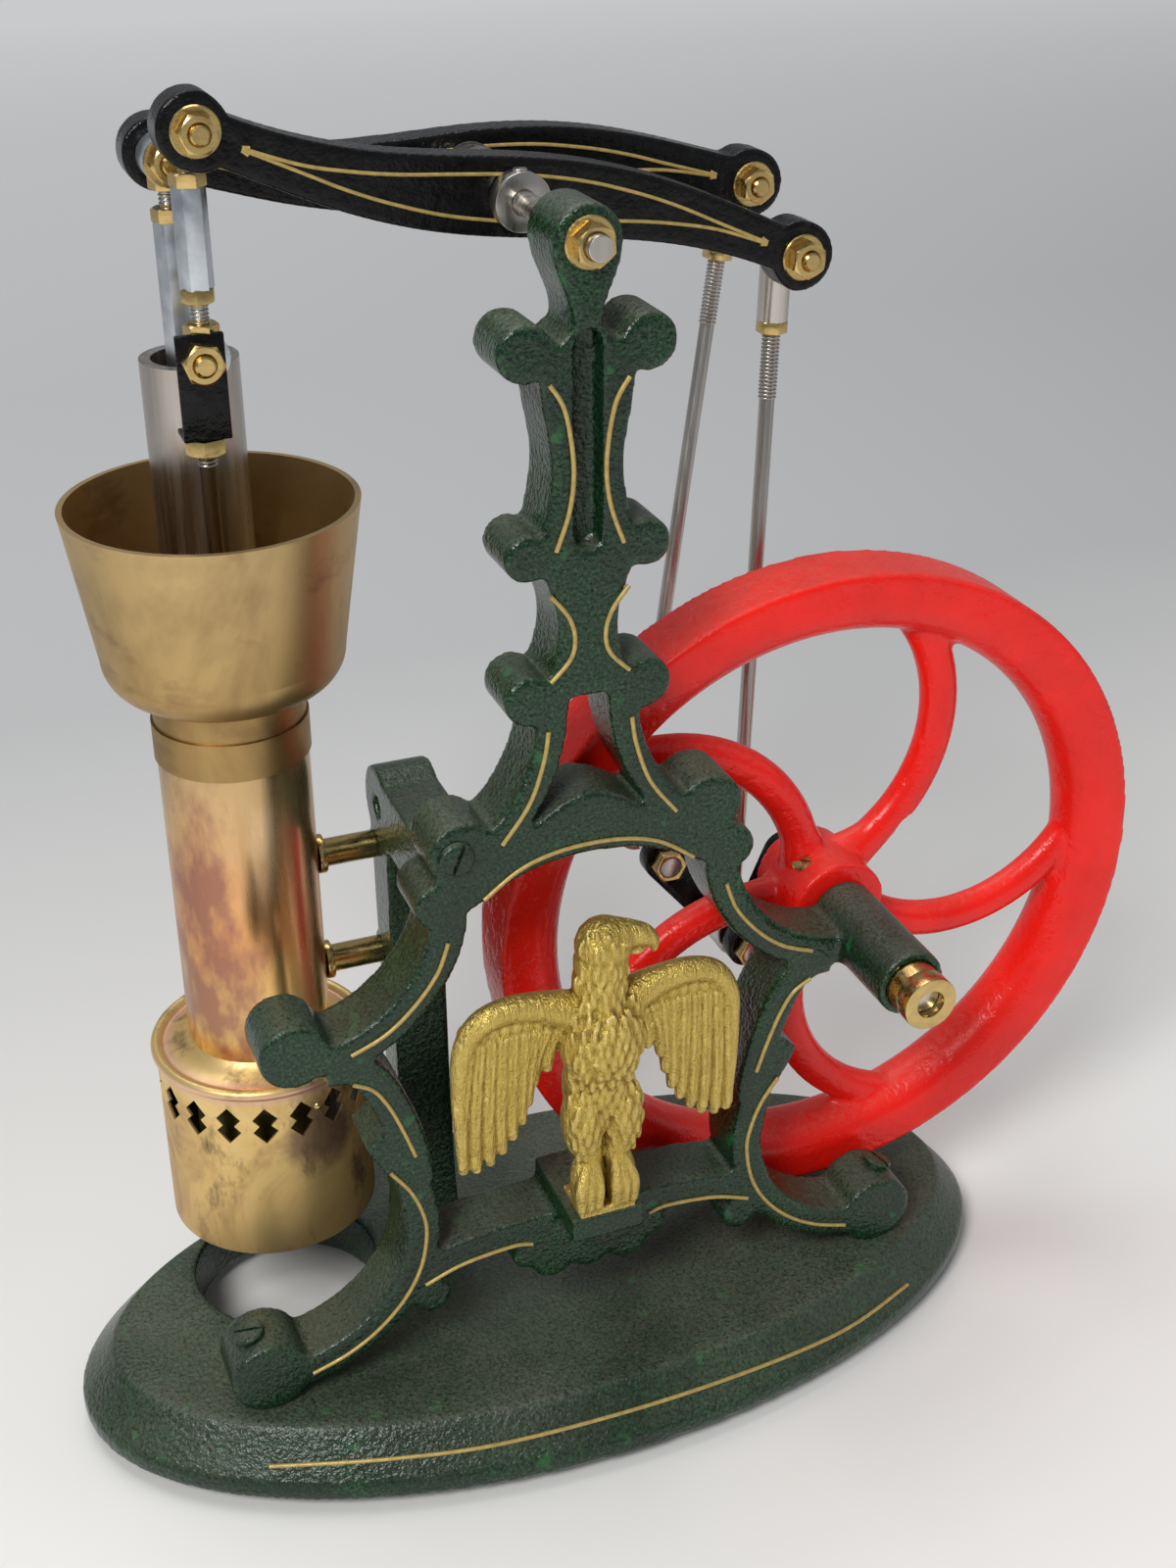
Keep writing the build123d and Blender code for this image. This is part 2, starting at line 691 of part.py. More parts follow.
with BuildPart() as pivot_nut:
    with BuildSketch(facing_front(standard_front, mirror_x, pivot_z)):
        Circle(washer_radius)
        Circle(pivot_shaft_radius + seat_gap, mode=Mode.SUBTRACT)
    extrude(amount=washer_thickness)
    with BuildSketch(facing_front(standard_front - washer_thickness, mirror_x, pivot_z)):
        RegularPolygon(pivot_nut_flats / 2, 6, major_radius=False)
        Circle(pivot_shaft_radius + seat_gap, mode=Mode.SUBTRACT)
    extrude(amount=nut_height)
write(pivot_nut, "pivot_nut")


def end_bolts(front, right, left, left_back):
    """Bolts of one beam: washer and nut in front, shank through the boss."""
    with BuildPart() as bolts:
        for place, back in ((right, front + beam_thickness), (left, left_back)):
            with BuildSketch(facing_front(front)):
                with Locations(place):
                    Circle(washer_radius)
            extrude(amount=washer_thickness)
            with BuildSketch(facing_front(front - washer_thickness)):
                with Locations(place):
                    RegularPolygon(nut_flats / 2, 6, major_radius=False)
            extrude(amount=nut_height)
            with BuildSketch(facing_front(back)):
                with Locations(place):
                    Circle(bolt_radius)
            extrude(amount=back - front)
    return bolts


front_bolts = end_bolts(front_beam_y, front_right, front_left, front_rod_y + eye_width / 2)
write(front_bolts, "front_beam_bolts")

with BuildPart() as rear_bolts:
    bolt_front = rear_link_y - eye_width / 2 - side_gap
    for place, front in ((rear_right, rear_beam_y), (rear_left, bolt_front)):
        with BuildSketch(facing_front(front)):
            with Locations(place):
                Circle(washer_radius)
        extrude(amount=washer_thickness)
        with BuildSketch(facing_front(front - washer_thickness)):
            with Locations(place):
                RegularPolygon(nut_flats / 2, 6, major_radius=False)
        extrude(amount=nut_height)
        with BuildSketch(facing_front(rear_beam_y + beam_thickness)):
            with Locations(place):
                Circle(bolt_radius)
        extrude(amount=rear_beam_y + beam_thickness - front)
write(rear_bolts, "rear_beam_bolts")


def hanging_link(top, y, hex_length, length, foot_radius_of_eye):
    """Hexagon link on studs, with an eye on its beam bolt and one at its foot."""
    x, z = top
    with BuildPart() as link:
        with BuildSketch(facing_front(y + eye_width / 2)):
            with Locations(top):
                Circle(eye_radius)
        extrude(amount=eye_width)
        with BuildSketch(Plane(origin=(x, y, z - length), z_dir=(0, 0, 1))):
            Circle(link_stud_radius)
        extrude(amount=length)
        with BuildSketch(Plane(origin=(x, y, z - link_hex_drop - hex_length), z_dir=(0, 0, 1))):
            RegularPolygon(link_flats / 2, 6, major_radius=False)
        extrude(amount=hex_length)
        with BuildSketch(facing_front(y + clevis_eye_width / 2)):
            with Locations((x, z - length)):
                Circle(foot_radius_of_eye)
        extrude(amount=clevis_eye_width)
        with BuildSketch(facing_front(y + eye_width / 2)):
            with Locations(top):
                Circle(bolt_radius + running_gap)
        extrude(amount=eye_width, mode=Mode.SUBTRACT)
    return link


displacer_link = hanging_link(front_left, front_rod_y, front_link_hex, front_link_length, lower_eye_radius)
write(displacer_link, "displacer_link")
piston_link = hanging_link(rear_left, rear_link_y, rear_link_hex, rear_link_length, piston_eye_radius)
write(piston_link, "piston_link")

# Displacer clevis: bent strap with its bolt, and the rod that goes down into the cup
clevis_back = front_rod_y - clevis_eye_width / 2 - side_gap
clevis_eye_z = front_left[1] - front_link_length
clevis_bottom = clevis_eye_z + clevis_ear - clevis_height
with BuildPart() as clevis:
    with BuildSketch(facing_front(clevis_back)):
        with Locations((column_x, clevis_bottom + clevis_height / 2)):
            Rectangle(clevis_width, clevis_height)
    extrude(amount=clevis_plate)
    with BuildSketch(Plane.XY.offset(clevis_bottom)):
        with Locations((column_x, clevis_back + clevis_foot_depth / 2)):
            Rectangle(clevis_width, clevis_foot_depth)
    extrude(amount=clevis_plate)
write(clevis, "displacer_clevis")

with BuildPart() as clevis_bolt:
    with BuildSketch(facing_front(clevis_back - clevis_plate)):
        with Locations((column_x, clevis_eye_z)):
            RegularPolygon(nut_flats / 2, 6, major_radius=False)
    extrude(amount=nut_height)
write(clevis_bolt, "clevis_bolt")

with BuildPart() as displacer_rod:
    with BuildSketch(Plane.XY.offset(clevis_bottom)):
        with Locations((column_x, front_rod_y)):
            Circle(displacer_rod_radius)
    extrude(amount=displacer_rod_length, dir=(0, 0, -1))
    with BuildSketch(Plane.XY.offset(clevis_bottom)):
        with Locations((column_x, front_rod_y)):
            RegularPolygon(lock_nut_flats / 2, 6, major_radius=False)
    extrude(amount=lock_nut_height, dir=(0, 0, -1))
write(displacer_rod, "displacer_rod")

# Hot cylinder with its collar, cooling cup and power cylinder
with BuildPart() as displacer_cylinder:
    with BuildSketch(Plane.XY.offset(tube_foot)):
        with Locations((column_x, column_y)):
            Circle(tube_radius)
    extrude(amount=tube_top - tube_foot)
    with BuildSketch(Plane.XY.offset(tube_foot + tube_wall)):
        with Locations((column_x, column_y)):
            Circle(tube_radius - tube_wall)
    extrude(amount=tube_top - tube_foot, mode=Mode.SUBTRACT)
write(displacer_cylinder, "displacer_cylinder")

ring_top = tube_top + collar_ring_height
column_axis = Axis((column_x, column_y, 0), (0, 0, 1))
column_plane = Plane(origin=(column_x, column_y, 0), x_dir=(1, 0, 0), z_dir=(0, -1, 0))
with BuildPart() as cylinder_collar:
    with BuildSketch(column_plane):
        with BuildLine():
            Polyline(
                (tube_radius - tube_wall, tube_top),
                (tube_radius + collar_ring_proud, tube_top),
                (tube_radius + collar_ring_proud, ring_top),
                (tube_radius, ring_top),
                (tube_radius, cup_bottom),
                (tube_radius - tube_wall, cup_bottom),
                close=True,
            )
        make_face()
    revolve(axis=column_axis)
write(cylinder_collar, "cylinder_collar")

with BuildPart() as water_cup:
    with BuildSketch(column_plane):
        with BuildLine():
            corner_x = cup_foot_radius - cup_corner
            corner_z = cup_bottom + cup_corner
            inner_corner = cup_corner - cup_wall
            Line((0, cup_bottom), (corner_x, cup_bottom))
            JernArc((corner_x, cup_bottom), (1, 0), cup_corner, 90)
            Line((cup_foot_radius, corner_z), (cup_rim_radius, cup_rim))
            Line((cup_rim_radius, cup_rim), (cup_rim_radius - cup_wall, cup_rim))
            Line((cup_rim_radius - cup_wall, cup_rim), (cup_foot_radius - cup_wall, corner_z))
            JernArc((corner_x, cup_floor), (1, 0), inner_corner, 90)
            Line((corner_x, cup_floor), (0, cup_floor))
            Line((0, cup_floor), (0, cup_bottom))
        make_face()
    revolve(axis=column_axis)
    with BuildSketch(Plane.XY.offset(cup_bottom)):
        with Locations((column_x, front_rod_y)):
            Circle(displacer_rod_radius + running_gap)
    extrude(amount=cup_wall, mode=Mode.SUBTRACT)
write(water_cup, "water_cup")

with BuildPart() as power_cylinder:
    with BuildSketch(Plane.XY.offset(cup_floor)):
        with Locations((power_x, power_y)):
            Circle(power_radius)
            Circle(power_radius - power_wall, mode=Mode.SUBTRACT)
    extrude(amount=power_top - cup_floor)
    # The foot is cut to the bowl that it stands in
    with BuildSketch(column_plane):
        with BuildLine():
            seat = cup_floor + seat_gap
            Line((0, cup_bottom), (cup_rim_radius, cup_bottom))
            Line((cup_rim_radius, cup_bottom), (cup_rim_radius, corner_z))
            Line((cup_rim_radius, corner_z), (cup_foot_radius - cup_wall, corner_z))
            JernArc((corner_x, seat), (1, 0), inner_corner, 90)
            Line((cup_foot_radius - cup_wall, seat + inner_corner), (cup_foot_radius - cup_wall, corner_z))
            Line((corner_x, seat), (0, seat))
            Line((0, seat), (0, cup_bottom))
        make_face()
    revolve(axis=column_axis, mode=Mode.SUBTRACT)
write(power_cylinder, "power_cylinder")

piston_top = rear_left[1] - rear_link_length - piston_eye_radius - piston_gap
with BuildPart() as power_piston:
    with BuildSketch(Plane.XY.offset(piston_top - piston_height)):
        with Locations((power_x, power_y)):
            Circle(power_radius - power_wall - running_gap)
    extrude(amount=piston_height)
write(power_piston, "power_piston")

# Burner: cap round the hot cylinder and a vented skirt below it
skirt_top = burner_top - burner_cap_drop
with BuildPart() as burner_cap:
    rim_x = burner_cap_radius - burner_rim_roll
    rim_z = skirt_top + burner_rim_roll
    neck_x = tube_radius + seat_gap
    with BuildSketch(column_plane):
        with BuildLine():
            sag = ((neck_x + rim_x) / 2, (burner_top + rim_z) / 2 - burner_wall)
            ThreePointArc((neck_x, burner_top), sag, (rim_x, rim_z))
            Line((rim_x, rim_z), (rim_x, rim_z - burner_wall))
            ThreePointArc((rim_x, rim_z - burner_wall), (sag[0], sag[1] - burner_wall), (neck_x, burner_top - burner_wall))
            Line((neck_x, burner_top - burner_wall), (neck_x, burner_top))
        make_face()
        with Locations((rim_x, rim_z)):
            Circle(burner_rim_roll)
    revolve(axis=column_axis)
write(burner_cap, "burner_cap")

with BuildPart() as burner_skirt:
    with BuildSketch(Plane.XY.offset(skirt_bottom)):
        with Locations((column_x, column_y)):
            Circle(skirt_radius)
            Circle(skirt_radius - burner_wall, mode=Mode.SUBTRACT)
    extrude(amount=skirt_top - skirt_bottom)
    for i in range(vent_count):
        turn = math.radians(360 / vent_count * i)
        outward = Vector(math.cos(turn), math.sin(turn), 0)
        across = Vector(-math.sin(turn), math.cos(turn), 0)
        with BuildSketch(Plane(origin=(column_x, column_y, skirt_top - vent_drop), x_dir=across, z_dir=outward)):
            with Locations((0, vent_size / 2), (0, -vent_size / 2)):
                Rectangle(vent_size, vent_size, rotation=45)
        extrude(amount=skirt_radius + overrun, mode=Mode.SUBTRACT)
write(burner_skirt, "burner_skirt")

# Bracket standing behind the standard, and the two stays that hold the cylinder
post_y = standard_front + bracket_post_front + bracket_post_depth / 2
bracket_top = base_top + bracket_top_share * pivot_height
bracket_rise = bracket_top - base_top
open_tube = tube_top - burner_top
stay_heights = [burner_top + share * open_tube for share in stay_height_shares]
post_height_shares = (0.0, 0.08, 0.22, 0.55, 0.8, 0.94)
post_width_shares = (1.5, 1.05, 0.8, 0.72, 0.8, 1.0)
with BuildPart() as cylinder_bracket:
    with BuildSketch(Plane(origin=(bracket_left, 0, 0), x_dir=(0, 1, 0), z_dir=(1, 0, 0))):
        post = [(post_y, base_top + share * bracket_rise) for share in post_height_shares]
        band(post, [share * bracket_post_depth for share in post_width_shares])
        arm_z = bracket_top - bracket_lobe_radius
        with Locations(((post_y + standard_back) / 2, arm_z)):
            Rectangle(post_y - standard_back, bracket_arm_drop)
        with Locations((post_y, arm_z)):
            Circle(bracket_lobe_radius)
        for height in stay_heights:
            with Locations((column_y, height)):
                Circle(bracket_ear_radius)
        with Locations((post_y, arm_z)):
            Circle(bracket_hole_radius, mode=Mode.SUBTRACT)
    extrude(amount=bracket_thickness)
write(cylinder_bracket, "cylinder_bracket")

with BuildPart() as cylinder_stays:
    stay_left = column_x + tube_radius + seat_gap
    for height in stay_heights:
        with BuildSketch(Plane(origin=(stay_left, column_y, height), x_dir=(0, 1, 0), z_dir=(1, 0, 0))):
            Circle(stay_radius)
        extrude(amount=bracket_left - stay_left)
        with BuildSketch(Plane(origin=(stay_left, column_y, height), x_dir=(0, 1, 0), z_dir=(1, 0, 0))):
            Circle(stay_flange_radius)
        extrude(amount=stay_flange)
write(cylinder_stays, "cylinder_stays")
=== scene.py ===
"""Looks for a table-top hot air engine: cast enamel, gold lines, brass, steel and a gilded eagle."""

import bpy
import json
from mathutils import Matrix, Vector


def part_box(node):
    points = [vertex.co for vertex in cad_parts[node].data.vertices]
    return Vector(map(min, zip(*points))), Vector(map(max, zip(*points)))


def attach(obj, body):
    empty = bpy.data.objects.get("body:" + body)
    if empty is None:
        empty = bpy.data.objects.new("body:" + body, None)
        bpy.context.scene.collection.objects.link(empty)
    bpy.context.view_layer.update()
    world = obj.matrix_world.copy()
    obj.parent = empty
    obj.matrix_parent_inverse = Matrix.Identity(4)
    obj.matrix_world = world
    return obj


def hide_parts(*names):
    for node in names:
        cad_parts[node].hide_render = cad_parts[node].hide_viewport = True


bl_info = {
    "name": "Hot air engine looks",
    "version": (1, 0, 0),
    "blender": (4, 5, 0),
    "location": "3D View > Sidebar > Engine",
    "description": "Dresses the packed hot air engine and sets its stage",
    "category": "Object",
}

import json
import math

import bmesh
import bpy
from bpy.props import FloatProperty, FloatVectorProperty, PointerProperty
from mathutils import Matrix, Vector

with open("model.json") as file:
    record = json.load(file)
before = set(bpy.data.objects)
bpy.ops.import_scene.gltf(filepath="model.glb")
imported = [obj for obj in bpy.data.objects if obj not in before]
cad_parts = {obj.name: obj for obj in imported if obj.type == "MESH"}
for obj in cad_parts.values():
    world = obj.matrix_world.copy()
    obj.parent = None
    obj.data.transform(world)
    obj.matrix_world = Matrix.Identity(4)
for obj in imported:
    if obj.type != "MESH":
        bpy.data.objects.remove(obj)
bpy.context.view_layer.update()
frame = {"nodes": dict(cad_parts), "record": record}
MM = 0.001

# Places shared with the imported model, in millimetres
MIDDLE_X = -16.05
FACE_Y = -28.0
PIVOT_Z = 254.6
SHAFT = (47.85, 101.5)
SPOKES, SPOKE_Y = 5, -2.85
SPOKE_ARC = ((3.08, 4.56), (27.14, 34.12), (19.18, 62.73))
SPOKE_SWELL = ((0.06, 1.3), (0.09, 1.2), (0.12, 1.1), (0.15, 1.02), (0.18, 0.96), (0.21, 0.92))
SPOKE_RADII = (4.3, 3.5, 4.3)
LEFT_ARM = 59.0
RIGHT_ARM = 61.0
BEAM_SWAY = 2.9
# Beams: front face, tilt at rest, and where the left bolt starts and ends from the face
BEAMS = {"front_beam": (8.0, 15.3, 0.0, 14.6), "rear_beam": (34.5, 7.0, -7.4, 7.5)}
BOLT_DEPTH = 7.5
COLUMN = (-74.05, 21.0)
# Burner: lift of the cap at its neck and rim, wall, stamped vents, rivet and stain
CAP_LIFT = (1.8, 3.3)
SKIRT_WALL = 0.8
VENTS, VENT_TURN, VENT_Z, STAMP_REACH = 18, 257.3, 71.1, 3.0
VENT_OUTLINE = (
    (0, 3.0), (2.7, 0), (1.28, -1.58), (2.7, -3.15), (0, -6.15), (-2.7, -3.15), (-1.28, -1.58), (-2.7, 0),
)
RIVET_TURN, RIVET_Z, RIVET_RADIUS = 287.3, 71.3, 1.1
BURNER_STAIN = (-66.4, 0.0, 63.5)
# Beam pivot: share of the shaft's radius that is kept, and how far out it acts
SHAFT_SLIM, SHAFT_REACH = 0.75, 1.25
# Links: body, x, y, nuts as (height, way up) and bare threads as (low, high)
LINKS = (
    (
        "displacer_link", -72.96, 19.2,
        ((259.17, 1), (241.17, -1), (232.4, 1)), ((261.6, 266.0), (235.0, 238.8)),
    ),
    ("piston_link", -74.61, 30.8, ((250.79, 1), (256.6, 1), (223.79, -1)), ((253.2, 257.0),)),
)
# Rods: body, foot and head as (x, z), and y
RODS = (
    ("front_rod", (38.47, 79.41), (42.79, 238.5), 19.2),
    ("rear_rod", (24.37, 96.51), (44.5, 247.17), 45.7),
)

# Nuts across their flats, screw heads across, threads and bolts by radius
BEAM_NUT, PIVOT_NUT, LINK_NUT, CLEVIS_NUT, ROD_NUT = 6.4, 6.6, 5.8, 7.0, 7.2
HUB_SCREW, LOBE_SCREW, FOOT_SCREW, COLLAR_SCREW = 4.4, 7.0, 6.6, 2.8
ROD_THREAD, LINK_THREAD, BEAM_BOLT = 1.62, 1.45, 1.9
# Bare thread of a connecting rod, measured down from its head
ROD_STUD = (17.6, 31)
# Edges sharper than this stay crisp, in degrees
FASTENER_SHARP = 30
# Step along a painted line, and a thread crest's radius as a share of the pitch
LINE_STEP, CREST_SHARE = 0.7, 0.42

# Camera fitted to the photo, its place in millimetres
CAMERA_PLACE = (-141.05, -341.7, 334.9)
CAMERA_RIGHT, CAMERA_UP = (0.92912, -0.36978, -0.00176), (0.17732, 0.44134, 0.87964)
CAMERA_LENS, CAMERA_FILM = 46.345, 36.0
# Lamps: name, place, aim and size in metres, and power
LAMPS = (
    ("key_lamp", (-0.75, -0.75, 1.1), (0, 0, 0.12), 0.45, 14.0),
    ("top_lamp", (-0.1, 0.35, 1.3), (0, 0, 0.1), 0.8, 7.0),
    ("side_lamp", (1.1, -0.5, 0.6), (0, 0, 0.12), 0.8, 1.0),
)


class EngineSizes(bpy.types.PropertyGroup):
    """Sizes of the finishing work"""

    line_width: FloatProperty(
        name="Line width", description="Width of the painted gold lines", default=0.95 * MM, unit="LENGTH"
    )
    skin_step: FloatProperty(
        name="Casting step", description="Grain of the softened castings", default=0.62 * MM, unit="LENGTH"
    )
    thread_pitch: FloatProperty(
        name="Thread pitch", description="Distance between thread crests", default=0.75 * MM, unit="LENGTH"
    )


class EngineColours(bpy.types.PropertyGroup):
    """Colours of the finishes"""

    green: FloatVectorProperty(
        name="Green enamel",
        description="Body of the frame enamel",
        subtype="COLOR",
        default=(0.009, 0.045, 0.014),
    )
    red: FloatVectorProperty(
        name="Red enamel", description="Flywheel enamel", subtype="COLOR", default=(0.92, 0.013, 0.007)
    )
    gold: FloatVectorProperty(
        name="Gold", description="Gold paint of the lines", subtype="COLOR", default=(0.55, 0.4, 0.13)
    )
    brass: FloatVectorProperty(
        name="Brass", description="Clean brass", subtype="COLOR", default=(0.62, 0.45, 0.18)
    )


def half_width(node):
    """Half of a node's width from left to right, in millimetres."""
    low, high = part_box(node)
    return (high[0] - low[0]) / 2 / MM


def mm(x, y, z):
    """Place given in millimetres, in the part's frame."""
    return Vector((x, y, z)) * MM


# Materials


class NodeWork:
    """Short calls that every node tree needs."""

    def add(self, kind, **settings):
        node = self.tree.nodes.new(kind)
        for key, value in settings.items():
            setattr(node, key, value)
        return node

    def join(self, start, end):
        self.tree.links.new(start, end)

    def feed(self, socket, value):
        """Joins an output, or sets a plain number or colour."""
        if isinstance(value, bpy.types.NodeSocket):
            self.join(value, socket)
        elif isinstance(value, (tuple, list)) and len(value) == 3 and socket.type == "RGBA":
            socket.default_value = (*value, 1.0)
        else:
            socket.default_value = value

    def put(self, kind, inputs, **settings):
        """Adds a node, feeds its inputs and gives its outputs."""
        node = self.add(kind, **settings)
        for key, value in inputs.items():
            self.feed(node.inputs[key], value)
        return node.outputs


class Finish(NodeWork):
    """One node material with short calls for the nodes that the finishes share."""

    def __init__(self, name, **skin):
        self.material = bpy.data.materials.new(name)
        self.material.use_nodes = True
        self.tree = self.material.node_tree
        self.skin = self.tree.nodes["Principled BSDF"]
        self.coords = self.put("ShaderNodeTexCoord", {})
        self.place = self.coords["Object"]
        for socket, value in skin.items():
            self.skin.inputs[socket.replace("_", " ")].default_value = value

    def stretched(self, scale, location=(0, 0, 0)):
        return self.put("ShaderNodeMapping", {"Vector": self.place, "Scale": scale, "Location": location})[0]

    def noise(self, scale, detail=3.0, rough=0.55, place=None, distortion=0.0):
        grain = {"Scale": scale, "Detail": detail, "Roughness": rough, "Distortion": distortion}
        return self.put("ShaderNodeTexNoise", {"Vector": place or self.place, **grain})["Fac"]

    def ramp(self, factor, *stops):
        node = self.add("ShaderNodeValToRGB")
        self.join(factor, node.inputs["Fac"])
        elements = node.color_ramp.elements
        while len(elements) < len(stops):
            elements.new(0.5)
        for element, (place, colour) in zip(elements, stops):
            element.position = place
            grey = isinstance(colour, (int, float))
            element.color = (colour, colour, colour, 1.0) if grey else (*colour, 1.0)
        return node.outputs["Color"]

    def mix(self, factor, a, b, blend="MIX"):
        return self.put("ShaderNodeMix", {0: factor, 6: a, 7: b}, data_type="RGBA", blend_type=blend)[2]

    def math(self, operation, a, b=0.5):
        return self.put("ShaderNodeMath", {0: a, 1: b}, operation=operation)[0]

    def part_of(self, vector, axis):
        return self.put("ShaderNodeSeparateXYZ", {0: vector})[axis]

    def upward(self, low, high):
        """0 on upright faces to 1 on faces that look up, where dust lies."""
        return self.ramp(self.part_of(self.coords["Normal"], "Z"), (low, 0.0), (high, 1.0))

    def span(self, value, low, high):
        """0 to 1 as a length goes from one size to another, in millimetres."""
        ends = {"From Min": low * MM, "From Max": high * MM}
        return self.put("ShaderNodeMapRange", {"Value": value, **ends})[0]

    def height(self, low, high):
        """0 to 1 between two heights in millimetres."""
        return self.span(self.part_of(self.place, "Z"), low, high)

    def from_axis(self, axis, low, high):
        """0 to 1 between two distances from an upright axis, in millimetres."""
        flat = self.stretched((1, 1, 0), (-axis[0] * MM, -axis[1] * MM, 0))
        reach = self.put("ShaderNodeVectorMath", {0: flat}, operation="LENGTH")["Value"]
        return self.span(reach, low, high)

    def from_place(self, place, low, high):
        """0 to 1 between two distances from a place, in millimetres."""
        ends = {0: self.place, 1: mm(*place)}
        reach = self.put("ShaderNodeVectorMath", ends, operation="DISTANCE")["Value"]
        return self.span(reach, low, high)

    def bump(self, height, distance, strength=1.0, before=None):
        inputs = {"Strength": strength, "Distance": distance, "Height": height}
        if before is not None:
            inputs["Normal"] = before
        return self.put("ShaderNodeBump", inputs)[0]

    def end(self, colour, roughness=None, normal=None):
        self.feed(self.skin.inputs["Base Color"], colour)
        if roughness is not None:
            self.feed(self.skin.inputs["Roughness"], roughness)
        if normal is not None:
            self.join(normal, self.skin.inputs["Normal"])
        return self.material


def green_enamel(colours):
    f = Finish("green_hammered_enamel", Specular_IOR_Level=0.42)
    green = tuple(colours.green)
    dark, light = tuple(c * 0.25 for c in green), (0.024, 0.095, 0.034)
    speck = f.ramp(f.noise(1500, 2.0, 0.6), (0.4, dark), (0.56, green), (0.72, light))
    blotch = f.ramp(f.noise(55, 4.0), (0.38, 0.0), (0.62, 1.0))
    enamel = f.mix(blotch, f.mix(0.55, speck, (0.006, 0.012, 0.009)), speck)
    fleck = f.ramp(f.noise(210, 1.0, 0.3), (0.7, 0.0), (0.78, 0.7))
    enamel = f.mix(fleck, enamel, (0.016, 0.11, 0.03))
    grain = f.ramp(f.noise(1400, 3.0, 0.7), (0.35, 0.2), (0.62, 1.0))
    drift = f.ramp(f.noise(38, 3.0), (0.3, 0.35), (0.65, 1.0))
    dust = f.math("MULTIPLY", f.math("MULTIPLY", f.upward(0.35, 0.95), grain), drift)
    colour = f.mix(f.math("MULTIPLY", dust, 0.66), enamel, (0.155, 0.16, 0.115))
    roughness = f.ramp(dust, (0.0, 0.13), (0.6, 0.58))
    pebble = f.bump(f.noise(950, 2.0, 0.5), 0.00034, 1.0)
    return f.end(colour, roughness, f.bump(f.noise(2300, 2.0), 0.0001, 0.8, pebble))


def red_enamel(colours):
    f = Finish("red_cast_enamel", Specular_IOR_Level=0.34)
    red = tuple(colours.red)
    tone = f.mix(f.ramp(f.noise(70, 4.0), (0.35, 0.0), (0.7, 1.0)), red, tuple(c * 0.82 for c in red))
    grain = f.ramp(f.noise(700, 3.0, 0.7), (0.35, 0.2), (0.7, 1.0))
    dust = f.math("MULTIPLY", f.upward(0.45, 1.0), grain)
    colour = f.mix(f.math("MULTIPLY", dust, 0.5), tone, (0.56, 0.13, 0.09))
    pits = f.ramp(f.noise(320, 3.0, 0.6), (0.33, 0.0), (0.5, 1.0))
    skin = f.bump(pits, 0.00022, 0.5)
    roughness = f.ramp(dust, (0.0, 0.24), (0.8, 0.55))
    return f.end(colour, roughness, f.bump(f.noise(1100, 2.0), 0.00008, 0.5, skin))


def black_enamel():
    f = Finish("black_cast_enamel", Specular_IOR_Level=0.2)
    colour = f.ramp(f.noise(420, 3.0), (0.3, 0.003), (0.75, 0.007))
    grain = f.ramp(f.noise(1300, 3.0, 0.7), (0.45, 0.0), (0.75, 1.0))
    dust = f.math("MULTIPLY", f.upward(0.55, 1.0), grain)
    colour = f.mix(f.math("MULTIPLY", dust, 0.22), colour, (0.09, 0.085, 0.075))
    skin = f.bump(f.noise(520, 3.0, 0.6), 0.0003, 0.9)
    roughness = f.ramp(dust, (0.0, 0.2), (0.6, 0.5))
    return f.end(colour, roughness, f.bump(f.noise(1700, 2.0), 0.0001, 0.6, skin))


def turned_brass(colours):
    f = Finish("turned_brass", Metallic=1.0)
    brass = tuple(colours.brass)
    dull, stained = tuple(c * 0.86 for c in brass), (0.42, 0.25, 0.085)
    film = f.ramp(f.noise(260, 3.0), (0.35, brass), (0.6, dull), (0.8, stained))
    lines = f.noise(1800, 2.0, 0.5, f.stretched((0.25, 1.0, 1.0)))
    return f.end(film, f.ramp(lines, (0.3, 0.16), (0.7, 0.34)), f.bump(lines, 0.00002, 0.5))


def hot_brass():
    """Cylinder that has been through many heats: bright foot, orange and purple bands above."""
    f = Finish("heat_tinted_brass", Metallic=0.88)
    wander = f.noise(28, 4.0, 0.6, f.stretched((1.0, 1.0, 0.35)), 0.6)
    level = f.math("ADD", f.height(70, 162), f.math("MULTIPLY", f.math("SUBTRACT", wander, 0.5), 0.55))
    tint = f.ramp(
        level,
        (0.0, (0.95, 0.74, 0.24)),
        (0.2, (0.92, 0.63, 0.22)),
        (0.4, (0.79, 0.39, 0.15)),
        (0.56, (0.74, 0.4, 0.18)),
        (0.74, (0.62, 0.41, 0.2)),
        (0.92, (0.45, 0.32, 0.16)),
    )
    clouds = f.stretched((1.0, 1.0, 0.5), (0.3, 0.1, 0.2))
    bloom = f.ramp(f.noise(42, 5.0, 0.65, clouds), (0.49, 0.0), (0.62, 0.85))
    tint = f.mix(bloom, tint, (0.34, 0.145, 0.11))
    runs = f.stretched((1.0, 1.0, 0.3), (0.7, 0.4, 0.1))
    pale = f.ramp(f.noise(60, 4.0, 0.6, runs), (0.56, 0.0), (0.7, 0.6))
    tint = f.mix(pale, tint, (0.9, 0.68, 0.42))
    streak = f.noise(420, 3.0, 0.5, f.stretched((1.0, 1.0, 0.08)))
    return f.end(tint, f.ramp(streak, (0.3, 0.2), (0.7, 0.36)), f.bump(streak, 0.00003, 0.4))


